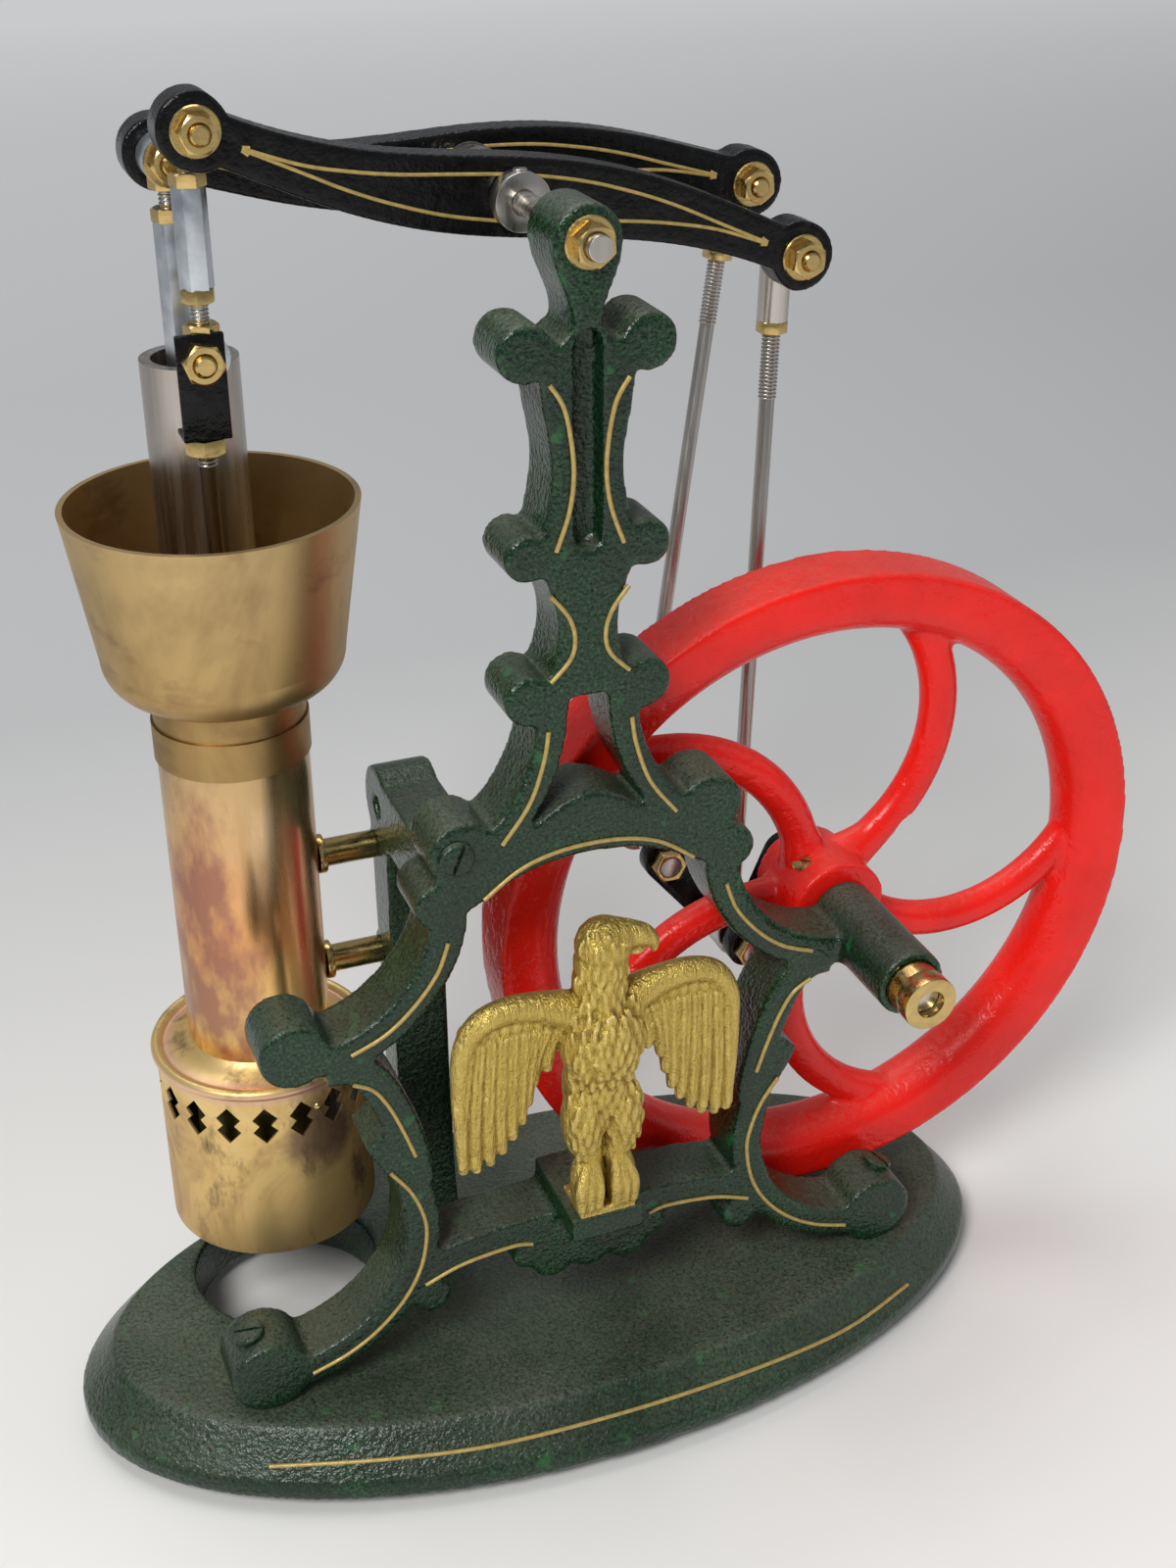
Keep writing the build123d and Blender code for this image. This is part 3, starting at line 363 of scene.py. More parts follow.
def cup_brass():
    f = Finish("dull_cup_brass", Metallic=1.0)
    patch = f.noise(30, 5.0, 0.65, f.stretched((1.0, 1.0, 0.6)), 0.5)
    tint = f.ramp(patch, (0.3, (0.36, 0.255, 0.12)), (0.5, (0.53, 0.38, 0.18)), (0.68, (0.6, 0.41, 0.18)))
    foot, belly, lip = (0.86, 0.78, 0.66), (1.0, 0.97, 0.92), (1.0, 1.0, 1.0)
    rim = f.ramp(f.height(160, 202), (0.0, foot), (0.6, belly), (1.0, lip))
    tint = f.mix(1.0, tint, rim, "MULTIPLY")
    smear = f.ramp(f.noise(120, 4.0, 0.6, f.stretched((0.5, 0.5, 1.0))), (0.55, 0.0), (0.72, 0.55))
    tint = f.mix(smear, tint, (0.2, 0.115, 0.06))
    spun = f.noise(700, 2.0, 0.5, f.stretched((0.05, 0.05, 1.0)))
    return f.end(tint, f.ramp(patch, (0.3, 0.5), (0.7, 0.34)), f.bump(spun, 0.00003, 0.35))


def burner_brass():
    f = Finish("burner_sheet_brass", Metallic=0.8)
    patch = f.noise(34, 5.0, 0.65, None, 0.8)
    tint = f.ramp(
        patch,
        (0.28, (0.42, 0.24, 0.12)),
        (0.45, (0.76, 0.52, 0.2)),
        (0.62, (0.85, 0.62, 0.27)),
        (0.8, (0.7, 0.43, 0.24)),
    )
    licks = f.stretched((1.0, 1.0, 0.5), (0.2, 0.5, 0.3))
    soot = f.ramp(f.noise(75, 5.0, 0.7, licks), (0.53, 0.0), (0.66, 0.85))
    tint = f.mix(soot, tint, (0.12, 0.075, 0.05))
    low = f.ramp(f.height(35, 50), (0.0, 0.5), (1.0, 0.0))
    tint = f.mix(low, tint, (0.42, 0.25, 0.11))
    blur = f.math("MULTIPLY", f.math("SUBTRACT", f.noise(90, 4.0, 0.6), 0.5), 1.2)
    stain = f.ramp(f.math("ADD", f.from_place(BURNER_STAIN, 2, 15), blur), (0.25, 0.75), (0.65, 0.0))
    tint = f.mix(stain, tint, (0.2, 0.115, 0.085))
    roll = f.ramp(f.height(73.8, 78.8), (0.15, 0.0), (0.3, 0.6), (0.8, 0.6), (0.95, 0.0))
    tint = f.mix(roll, tint, (0.78, 0.47, 0.38))
    # The inside of the skirt is sooted black
    skirt = half_width("burner_skirt")
    inner = f.ramp(f.from_axis(COLUMN, skirt - 0.75, skirt - 0.3), (0.0, 1.0), (1.0, 0.0))
    below = f.ramp(f.height(75.5, 76.5), (0.0, 1.0), (1.0, 0.0))
    tint = f.mix(f.math("MULTIPLY", inner, below), tint, (0.012, 0.01, 0.008))
    dents = f.bump(f.noise(60, 3.0), 0.0008, 0.35)
    return f.end(tint, f.ramp(patch, (0.3, 0.52), (0.7, 0.32)), dents)


def satin_steel(name, tone, rust=0.0):
    f = Finish(name, Metallic=1.0)
    streak = f.noise(600, 3.0, 0.55, f.stretched((1.0, 1.0, 0.04)))
    tint = f.ramp(streak, (0.3, tuple(c * 0.78 for c in tone)), (0.7, tone))
    if rust:
        stain = f.ramp(f.noise(70, 4.0, 0.6, f.stretched((1.0, 1.0, 0.3))), (0.42, 0.0), (0.68, rust))
        tint = f.mix(stain, tint, (0.3, 0.2, 0.14))
    return f.end(tint, f.ramp(streak, (0.3, 0.22), (0.7, 0.38)), f.bump(streak, 0.00002, 0.4))


def zinc_plate():
    f = Finish("zinc_plated_steel", Metallic=1.0)
    cloud = f.noise(240, 3.0)
    tint = f.ramp(cloud, (0.3, (0.5, 0.54, 0.58)), (0.7, (0.72, 0.75, 0.78)))
    return f.end(tint, f.ramp(cloud, (0.3, 0.3), (0.7, 0.44)))


def gilded():
    """Gold paint on the eagle, darker in its grooves and lighter on its ridges."""
    f = Finish("gilded_casting", Metallic=0.85)
    shape = f.add("ShaderNodeNewGeometry").outputs["Pointiness"]
    groove_ridge_tone = f.ramp(shape, (0.45, (0.2, 0.125, 0.024)), (0.5, (0.62, 0.45, 0.1)), (0.56, (0.9, 0.72, 0.28)))
    patch = f.ramp(f.noise(150, 4.0), (0.35, 0.0), (0.7, 0.3))
    colour = f.mix(patch, groove_ridge_tone, (0.36, 0.235, 0.05))
    plume = f.noise(560, 3.0, 0.6, f.stretched((1.6, 1.0, 0.35)), 0.6)
    skin = f.bump(plume, 0.0009, 0.9)
    flake = f.noise(2100, 2.0)
    return f.end(colour, f.ramp(flake, (0.3, 0.26), (0.7, 0.5)), f.bump(flake, 0.0003, 0.9, skin))


def gold_line(colours):
    f = Finish("gold_line_paint", Metallic=0.35)
    gold = tuple(colours.gold)
    tone = f.ramp(f.noise(700, 3.0), (0.3, tuple(c * 0.7 for c in gold)), (0.7, gold))
    return f.end(tone, f.ramp(f.noise(900), (0.3, 0.35), (0.7, 0.55)))


def clear_bumper():
    f = Finish("clear_bumper", Transmission_Weight=0.85, IOR=1.45)
    tone = f.ramp(f.noise(300), (0.3, 0.82), (0.7, 0.92))
    return f.end(tone, f.ramp(f.noise(200), (0.3, 0.12), (0.7, 0.22)))


MATERIALS = {}


def finishes(context):
    """Makes the materials once and returns them by name."""
    if not MATERIALS:
        colours = context.scene.engine_colours
        MATERIALS.update(
            green=green_enamel(colours),
            red=red_enamel(colours),
            black=black_enamel(),
            brass=turned_brass(colours),
            hot=hot_brass(),
            cup=cup_brass(),
            burner=burner_brass(),
            steel=satin_steel("satin_steel", (0.58, 0.55, 0.5)),
            bore=satin_steel("stained_cylinder_steel", (0.56, 0.52, 0.48), 0.4),
            zinc=zinc_plate(),
            copper=satin_steel("bare_copper", (0.72, 0.36, 0.22)),
            gilt=gilded(),
            line=gold_line(colours),
            bumper=clear_bumper(),
        )
    return MATERIALS


# Mesh work shared by the pieces


def piece(name, mesh):
    obj = bpy.data.objects.new(name, mesh)
    bpy.context.scene.collection.objects.link(obj)
    return obj


def bake(obj):
    """Turns what the modifiers make into the piece's own mesh."""
    depsgraph = bpy.context.evaluated_depsgraph_get()
    mesh = bpy.data.meshes.new_from_object(obj.evaluated_get(depsgraph))
    old = obj.data
    obj.modifiers.clear()
    obj.data = mesh
    mesh.name = obj.name
    bpy.data.meshes.remove(old)


def mesh_from(bm, name):
    mesh = bpy.data.meshes.new(name)
    bm.to_mesh(mesh)
    bm.free()
    return mesh


def settle(obj, body, slot, material, *nodes, sharp=None):
    """Gives a piece its finish and hangs it on its body."""
    obj.data.materials.clear()
    obj.data.materials.append(material)
    obj.data.shade_smooth()
    if sharp:
        obj.data.set_sharp_from_angle(angle=math.radians(sharp))
    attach(obj, body)
    if nodes:
        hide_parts(*nodes)


def merged_node(node):
    bm = bmesh.new()
    bm.from_mesh(frame["nodes"][node].data)
    bmesh.ops.remove_doubles(bm, verts=bm.verts, dist=0.002 * MM)
    return bm


def soften(obj, step, passes):
    """Rounds every edge of a closed shape as a casting's are."""
    skin = obj.modifiers.new("skin", "REMESH")
    skin.mode = "VOXEL"
    skin.voxel_size = step
    smooth = obj.modifiers.new("smooth", "SMOOTH")
    smooth.factor = 0.5
    smooth.iterations = passes
    bake(obj)


def casting(node, step, passes, fillets=None):
    """Softened copy of a node, with lumps of clay blended in where it has fillets."""
    bm = merged_node(node)
    if fillets:
        bm.from_mesh(fillets.mesh(node + "_fillets"))
    obj = piece(node + "_casting", mesh_from(bm, node + "_casting"))
    soften(obj, step, passes)
    return obj


def cut_away(obj, cutter):
    """Cuts a shape out of a piece and does away with the shape."""
    cut = obj.modifiers.new("cut", "BOOLEAN")
    cut.operation = "DIFFERENCE"
    cut.object = cutter
    cut.solver = "EXACT"
    bake(obj)
    bpy.data.objects.remove(cutter)


def eased(node, width):
    """Copy of a machined node with its edges broken."""
    bm = merged_node(node)
    bmesh.ops.dissolve_limit(bm, angle_limit=math.radians(1.0), verts=bm.verts, edges=bm.edges)
    obj = piece(node + "_eased", mesh_from(bm, node + "_eased"))
    bevel = obj.modifiers.new("edges", "BEVEL")
    bevel.width = width * MM
    bevel.segments = 2
    bevel.limit_method = "ANGLE"
    bevel.angle_limit = math.radians(38)
    bevel.use_clamp_overlap = True
    bake(obj)
    return obj


class Clay:
    """Lumps that overlap, gathered for one remesh."""

    SLICES, ROWS = 18, 9

    def __init__(self):
        self.verts, self.faces = [], []
        self.ball = [Vector((0, 0, -1))]
        for row in range(1, self.ROWS):
            tilt = math.pi * row / self.ROWS - math.pi / 2
            for k in range(self.SLICES):
                turn = 2 * math.pi * k / self.SLICES
                wide, high = math.cos(tilt), math.sin(tilt)
                self.ball.append(Vector((wide * math.cos(turn), wide * math.sin(turn), high)))
        self.ball.append(Vector((0, 0, 1)))

    def lump(self, place, radii, lean=0.0):
        """Ball stretched to three radii and leaned about the front axis."""
        turn = Matrix.Rotation(math.radians(lean), 3, "Y") @ Matrix.Diagonal(radii)
        first, last = len(self.verts), len(self.verts) + len(self.ball) - 1
        self.verts += [(Vector(place) + turn @ point) * MM for point in self.ball]
        for k in range(self.SLICES):
            nxt = (k + 1) % self.SLICES
            self.faces.append((first, first + 1 + nxt, first + 1 + k))
            for row in range(self.ROWS - 2):
                low = first + 1 + row * self.SLICES
                high = low + self.SLICES
                self.faces.append((low + k, low + nxt, high + nxt, high + k))
            top = last - self.SLICES
            self.faces.append((top + k, top + nxt, last))

    def block(self, place, sizes):
        x, y, z = (0.5 * size for size in sizes)
        first = len(self.verts)
        outline = ((-x, -y), (x, -y), (x, y), (-x, y))
        corners = [(*corner, level) for level in (-z, z) for corner in outline]
        self.verts += [(Vector(place) + Vector(corner)) * MM for corner in corners]
        sides = ((0, 3, 2, 1), (4, 5, 6, 7), (0, 1, 5, 4), (1, 2, 6, 5), (2, 3, 7, 6), (3, 0, 4, 7))
        self.faces += [tuple(first + i for i in side) for side in sides]

    def mesh(self, name):
        mesh = bpy.data.meshes.new(name)
        mesh.from_pydata(self.verts, [], self.faces)
        return mesh


# Geometry node trees


class Tree(NodeWork):
    """A geometry node tree with named inputs."""

    def __init__(self, name, **inputs):
        self.tree = bpy.data.node_groups.new(name, "GeometryNodeTree")
        face = self.tree.interface
        face.new_socket("Geometry", in_out="OUTPUT", socket_type="NodeSocketGeometry")
        face.new_socket("Geometry", in_out="INPUT", socket_type="NodeSocketGeometry")
        self.keys = {}
        for key, kind in inputs.items():
            socket = face.new_socket(key, in_out="INPUT", socket_type="NodeSocket" + kind)
            self.keys[key] = socket.identifier
        self.given = self.add("NodeGroupInput").outputs
        self.result = self.add("NodeGroupOutput").inputs["Geometry"]

    def finish(self, geometry):
        """Ends the tree with real, painted geometry."""
        real = self.put("GeometryNodeRealizeInstances", {"Geometry": geometry})["Geometry"]
        paint = {"Geometry": real, "Material": self.given["Material"]}
        self.join(self.put("GeometryNodeSetMaterial", paint)["Geometry"], self.result)

    def apply(self, obj, **values):
        modifier = obj.modifiers.new("build", "NODES")
        modifier.node_group = self.tree
        for key, value in values.items():
            modifier[self.keys[key]] = value
        bake(obj)


def line_tree():
    """Painted line: a smooth round bead along each drawn path."""
    t = Tree("painted_line", Width="Float", Material="Material")
    curve = t.put("GeometryNodeMeshToCurve", {"Mesh": t.given["Geometry"]})["Curve"]
    smooth = t.put("GeometryNodeCurveSplineType", {"Curve": curve}, spline_type="CATMULL_ROM")["Curve"]
    spacing = {"Curve": smooth, "Length": LINE_STEP * MM}
    even = t.put("GeometryNodeResampleCurve", spacing, mode="LENGTH")["Curve"]
    half = t.put("ShaderNodeMath", {0: t.given["Width"], 1: 0.5}, operation="MULTIPLY")[0]
    bead = t.put("GeometryNodeCurvePrimitiveCircle", {"Resolution": 6, "Radius": half})["Curve"]
    body = t.put("GeometryNodeCurveToMesh", {"Curve": even, "Profile Curve": bead, "Fill Caps": True})["Mesh"]
    t.finish(body)
    return t


def thread_tree():
    """Screw thread: crests in a row along each drawn line."""
    t = Tree("screw_thread", Pitch="Float", Radius="Float", Material="Material")
    pitch = t.given["Pitch"]
    curve = t.put("GeometryNodeMeshToCurve", {"Mesh": t.given["Geometry"]})["Curve"]
    crests = t.put("GeometryNodeCurveToPoints", {"Curve": curve, "Length": pitch}, mode="LENGTH")
    ring = t.put("GeometryNodeCurvePrimitiveCircle", {"Resolution": 14, "Radius": t.given["Radius"]})["Curve"]
    part = t.put("ShaderNodeMath", {0: pitch, 1: CREST_SHARE}, operation="MULTIPLY")[0]
    edge = t.put("GeometryNodeCurvePrimitiveCircle", {"Resolution": 4, "Radius": part})["Curve"]
    crest = t.put("GeometryNodeCurveToMesh", {"Curve": ring, "Profile Curve": edge})["Mesh"]
    inputs = {"Points": crests["Points"], "Rotation": crests["Rotation"], "Instance": crest}
    t.finish(t.put("GeometryNodeInstanceOnPoints", inputs)["Instances"])
    return t


def fastener_tree():
    """Fasteners: one shape set on marked points, turned and sized by their attributes."""
    t = Tree("set_fasteners", Shape="Object", Material="Material")
    inputs = {
        "Points": t.given["Geometry"],
        "Instance": t.put("GeometryNodeObjectInfo", {"Object": t.given["Shape"]})["Geometry"],
    }
    for socket, name, kind in (("Rotation", "turn", "FLOAT_VECTOR"), ("Scale", "size", "FLOAT")):
        mark = t.put("GeometryNodeInputNamedAttribute", {"Name": name}, data_type=kind)
        inputs[socket] = mark["Attribute"]
    t.finish(t.put("GeometryNodeInstanceOnPoints", inputs)["Instances"])
    return t


TREES = {}


def tree(kind):
    if kind not in TREES:
        TREES[kind] = {"line": line_tree, "thread": thread_tree, "fastener": fastener_tree}[kind]()
    return TREES[kind]


def paths_mesh(paths, name):
    """Open paths as joined edges, places in millimetres."""
    bm = bmesh.new()
    for path in paths:
        verts = [bm.verts.new(mm(*p)) for p in path]
        for a, b in zip(verts, verts[1:]):
            bm.edges.new((a, b))
    return mesh_from(bm, name)


def painted_lines(context, name, paths, body, scale=1.0):
    obj = piece(name, paths_mesh(paths, name))
    material = finishes(context)["line"]
    width = context.scene.engine_sizes.line_width * scale
    tree("line").apply(obj, Width=width, Material=material)
    settle(obj, body, "gold_paint", material)


def thread(context, name, start, end, radius, body, slot, material):
    obj = piece(name, paths_mesh([(start, end)], name))
    pitch = context.scene.engine_sizes.thread_pitch
    tree("thread").apply(obj, Pitch=pitch, Radius=radius * MM, Material=material)
    settle(obj, body, slot, material)


def hexagon(angle):
    """Distance to the side of a hexagon one unit across its flats."""
    return 0.5 / math.cos((angle + math.pi / 6) % (math.pi / 3) - math.pi / 6)


def ring_walls(bm, loops, closed=False):
    """Faces between rings of vertices that run the same way round, with end faces unless closed."""
    for low, high in zip(loops, loops[1:] + (loops[:1] if closed else [])):
        for i in range(len(low)):
            j = (i + 1) % len(low)
            bm.faces.new((low[i], low[j], high[j], high[i]))
    if not closed:
        bm.faces.new(loops[-1])
        bm.faces.new(list(reversed(loops[0])))


def nut_shape(height=0.43, washer=0.7, washer_height=0.11, bolt=0.27, bolt_proud=0.14):
    """Chamfered nut on its washer with the bolt's end showing, one unit across flats, facing +Z."""
    steps = 48
    rings = []
    angles = [2 * math.pi * i / steps for i in range(steps)]

    def at(value, angle):
        return value(angle) if callable(value) else value

    def ring(radius, level):
        rings.append([(a, at(radius, a), at(level, a)) for a in angles])

    base = 0.0
    if washer:
        ring(washer, 0.0)
        ring(washer, washer_height * 0.6)
        ring(washer * 0.95, washer_height)
        base = washer_height
    flat = 0.475
    ring(lambda a: hexagon(a) - 0.01, base)
    ring(hexagon, base + 0.03)
    ring(hexagon, lambda a: base + height - (hexagon(a) - flat) * 0.62)
    ring(flat, base + height)
    ring(bolt + 0.06, base + height)
    ring(bolt + 0.01, base + height - 0.05)
    ring(bolt, base + height + bolt_proud - 0.05)
    ring(bolt * 0.82, base + height + bolt_proud)
    ring(bolt * 0.3, base + height + bolt_proud)
    bm = bmesh.new()
    loops = [[bm.verts.new((r * math.cos(a), r * math.sin(a), z)) for a, r, z in one] for one in rings]
    ring_walls(bm, loops)
    return mesh_from(bm, "nut_shape")


def screw_shape(dome=0.12):
    """Slotted screw head one unit across, facing +Z."""
    bm = bmesh.new()
    steps = 40
    rows = ((0.5, -0.1), (0.5, 0.06), (0.44, dome), (0.3, dome + 0.03))
    angles = [2 * math.pi * i / steps for i in range(steps)]
    loops = []
    for radius, level in rows:
        loops.append([bm.verts.new((radius * math.cos(a), radius * math.sin(a), level)) for a in angles])
    ring_walls(bm, loops)
    head = piece("screw_head", mesh_from(bm, "screw_head"))
    cutter = bmesh.new()
    groove = Matrix.Translation((0, 0, dome + 0.1)) @ Matrix.Diagonal((1.2, 0.12, 0.34, 1.0))
    bmesh.ops.create_cube(cutter, size=1.0, matrix=groove)
    slot = piece("screw_slot", mesh_from(cutter, "screw_slot"))
    cut_away(head, slot)
    mesh = head.data
    bpy.data.objects.remove(head)
    return mesh


SHAPE_MAKERS = {
    "nut": nut_shape,
    "bare_nut": lambda: nut_shape(washer=0.0),
    "pivot_nut": lambda: nut_shape(bolt=0.33, bolt_proud=-0.15),
    "screw": screw_shape,
}
SHAPES = {}


def fastener_master(kind):
    if kind not in SHAPES:
        SHAPES[kind] = SHAPE_MAKERS[kind]()
    return SHAPES[kind]


def fasteners(name, kind, places, material):
    """Fasteners at (place, facing, size, spin) as one mesh."""
    bm = bmesh.new()
    for place, _, _, _ in places:
        bm.verts.new(mm(*place))
    mesh = mesh_from(bm, name)
    mesh.attributes.new("turn", "FLOAT_VECTOR", "POINT")
    mesh.attributes.new("size", "FLOAT", "POINT")
    turn, size = mesh.attributes["turn"], mesh.attributes["size"]
    for i, (_, facing, across, spin) in enumerate(places):
        spun = Matrix.Rotation(math.radians(spin), 3, "Z").to_quaternion()
        turn.data[i].vector = (Vector(facing).to_track_quat("Z", "Y") @ spun).to_euler()
        size.data[i].value = across * MM
    obj = piece(name, mesh)
    master = piece(name + "_shape", fastener_master(kind))
    tree("fastener").apply(obj, Shape=master, Material=material)
    bpy.data.objects.remove(master)
    return obj


def fit(name, kind, places, material, body, slot, *nodes):
    """Fasteners that ride on a body."""
    settle(fasteners(name, kind, places, material), body, slot, material, *nodes, sharp=FASTENER_SHARP)


def add_shank(obj, start, end, radius):
    """Adds a round bar from one place to another, in millimetres."""
    bm = bmesh.new()
    bm.from_mesh(obj.data)
    a, b = mm(*start), mm(*end)
    turn = (b - a).to_track_quat("Z", "Y").to_matrix().to_4x4()
    bmesh.ops.create_cone(
        bm, cap_ends=True, segments=24, radius1=radius * MM, radius2=radius * MM, depth=(b - a).length,
        matrix=Matrix.Translation((a + b) / 2) @ turn,
    )
    bm.to_mesh(obj.data)
    bm.free()


def on_arc(x, z, radius, angle):
    return x + radius * math.cos(math.radians(angle)), z + radius * math.sin(math.radians(angle))


def arc_through(a, b, c, share):
    """Place at a share of the way along the arc from a through b to c."""
    turn = 2 * (a[0] * (b[1] - c[1]) + b[0] * (c[1] - a[1]) + c[0] * (a[1] - b[1]))
    squares = [p[0] ** 2 + p[1] ** 2 for p in (a, b, c)]
    x = (squares[0] * (b[1] - c[1]) + squares[1] * (c[1] - a[1]) + squares[2] * (a[1] - b[1])) / turn
    z = (squares[0] * (c[0] - b[0]) + squares[1] * (a[0] - c[0]) + squares[2] * (b[0] - a[0])) / turn
    start, through, end = (math.atan2(p[1] - z, p[0] - x) for p in (a, b, c))
    sweep = (end - start) % math.tau
    if (through - start) % math.tau > sweep:
        sweep -= math.tau
    return on_arc(x, z, math.hypot(a[0] - x, a[1] - z), math.degrees(start + share * sweep))


# Operators


class ENGINE_OT_castings(bpy.types.Operator):
    """Softened green castings: base, standard and bracket"""

    bl_idname = "engine.castings"
    bl_label = "Green castings"

    def execute(self, context):
        green = finishes(context)["green"]
        step = context.scene.engine_sizes.skin_step
        grains = (("front_standard", 1.2, 4), ("base_plate", 1.5, 5), ("cylinder_bracket", 1.0, 5))
        for node, coarse, passes in grains:
            settle(casting(node, step * coarse, passes), "frame", "green_enamel", green, node)
        return {"FINISHED"}


class ENGINE_OT_flywheel(bpy.types.Operator):
    """Red flywheel with cast fillets, and its set screw"""

    bl_idname = "engine.flywheel"
    bl_label = "Flywheel"

    def execute(self, context):
        looks = finishes(context)
        step = context.scene.engine_sizes.skin_step
        fillets = Clay()
        for i in range(SPOKES):
            for share, swell in SPOKE_SWELL:
                across, rise = arc_through(*SPOKE_ARC, share)
                reach, angle = math.hypot(across, rise), math.degrees(math.atan2(rise, across))
                x, z = on_arc(*SHAFT, reach, angle + 360 * i / SPOKES)
                fillets.lump((x, SPOKE_Y, z), [radius * swell for radius in SPOKE_RADII])
        wheel = casting("flywheel", step * 1.25, 4, fillets)
        settle(wheel, "flywheel", "red_enamel", looks["red"], "flywheel")
        hub = ((41.7, -7.2, 110.9), (-0.54, -0.15, 0.83), HUB_SCREW, 25)
        fit("hub_set_screw", "screw", [hub], looks["brass"], "flywheel", "brass")
        return {"FINISHED"}


def sway(along):
    """How far the middle of a beam swings off the line between its ends, in millimetres."""
    arm = LEFT_ARM if along < 0 else RIGHT_ARM
    return BEAM_SWAY * math.sin(math.pi * max(-1.0, min(1.0, along / arm)))


def on_beam(tilt, along, across):
    """Place on a beam's face: along its axis from the pivot, and across it."""
    lean = math.radians(tilt)
    across += sway(along)
    x = MIDDLE_X + along * math.cos(lean) + across * math.sin(lean)
    return x, PIVOT_Z - along * math.sin(lean) + across * math.cos(lean)


class ENGINE_OT_beams(bpy.types.Operator):
    """Black beams, drawn to a double curve, with their gold lines"""

    bl_idname = "engine.beams"
    bl_label = "Beams"

    def execute(self, context):
        black = finishes(context)["black"]
        step = context.scene.engine_sizes.skin_step
        gaps = ((0.0, 4.2), (0.2, 3.7), (0.38, 2.6), (0.53, 1.6), (0.68, 0.6), (0.86, 0.1))
        profile = [(-share, gap) for share, gap in reversed(gaps[1:])] + list(gaps)
        for node, (front, tilt, *_) in BEAMS.items():
            obj = casting(node, step * 0.75, 4)
            lean = math.radians(tilt)
            along_axis = Vector((math.cos(lean), 0, -math.sin(lean)))
            across_axis = Vector((math.sin(lean), 0, math.cos(lean)))
            pivot = mm(MIDDLE_X, 0, PIVOT_Z)
            for vert in obj.data.vertices:
                vert.co += across_axis * sway((vert.co - pivot).dot(along_axis) / MM) * MM
            settle(obj, node, "black_enamel", black, node)
            paths = []
            for side in (1, -1):
                path = []
                for share, gap in profile:
                    x, z = on_beam(tilt, share * (LEFT_ARM if share < 0 else RIGHT_ARM), side * gap)
                    path.append((x, front - 0.1, z))
                paths.append(path)
            for end in (-0.86 * LEFT_ARM, 0.86 * RIGHT_ARM):
                for side in (1, -1):
                    knot = (on_beam(tilt, end * 0.975, side * 0.6), on_beam(tilt, end, side * 0.25))
                    paths.append([(x, front - 0.15, z) for x, z in knot])
            painted_lines(context, node + "_gold_lines", paths, node, 0.8)
        return {"FINISHED"}


class ENGINE_OT_gold_lines(bpy.types.Operator):
    """Gold lines on the standard and the base"""

    bl_idname = "engine.gold_lines"
    bl_label = "Gold lines"

    def execute(self, context):
        half = (
            ((7.4, 231), (4.6, 226), (3.1, 216), (3.9, 208), (6.5, 200.5)),
            ((7.6, 192), (4.2, 187.5), (3.0, 183), (4.0, 179), (7.8, 175)),
            ((8.4, 165), (9.4, 159), (12.4, 150.5), (18, 142.8)),
            ((29.5, 123.5), (32, 117), (37, 110.5), (43, 105.5), (50, 102.5)),
            ((50, 95.5), (46, 93), (43, 88), (40.3, 81), (38.2, 74.5)),
            (
                (43.5, 71.5), (39.8, 66), (37.5, 60), (36.7, 54), (38.2, 45.5), (42, 38), (48, 31.5),
                (55, 27), (62.9, 24.2),
            ),
            ((37.5, 40), (29, 43), (18, 44.2), (13.5, 43.4)),
        )
        paths = []
        for side in (1, -1):
            for path in half:
                paths.append([(MIDDLE_X + side * x, FACE_Y - 0.12, z) for x, z in path])
        arch = ((-22, 131.5), (-15, 136.4), (-8, 138.7), (0, 139.4), (8, 138.7), (15, 136.4), (22, 131.5))
        paths.append([(MIDDLE_X + x, FACE_Y - 0.12, z) for x, z in arch])
        painted_lines(context, "standard_gold_lines", paths, "frame")
        edge = (
            (-91.6, -36.8, 10.7), (-67.5, -45.1, 11.6), (-42.1, -50.1, 11.7), (-3.1, -51.2, 11.8),
            (35.4, -46.3, 10.4), (59.1, -37.6, 10.0),
        )
        painted_lines(context, "base_gold_line", [edge], "frame")
        return {"FINISHED"}


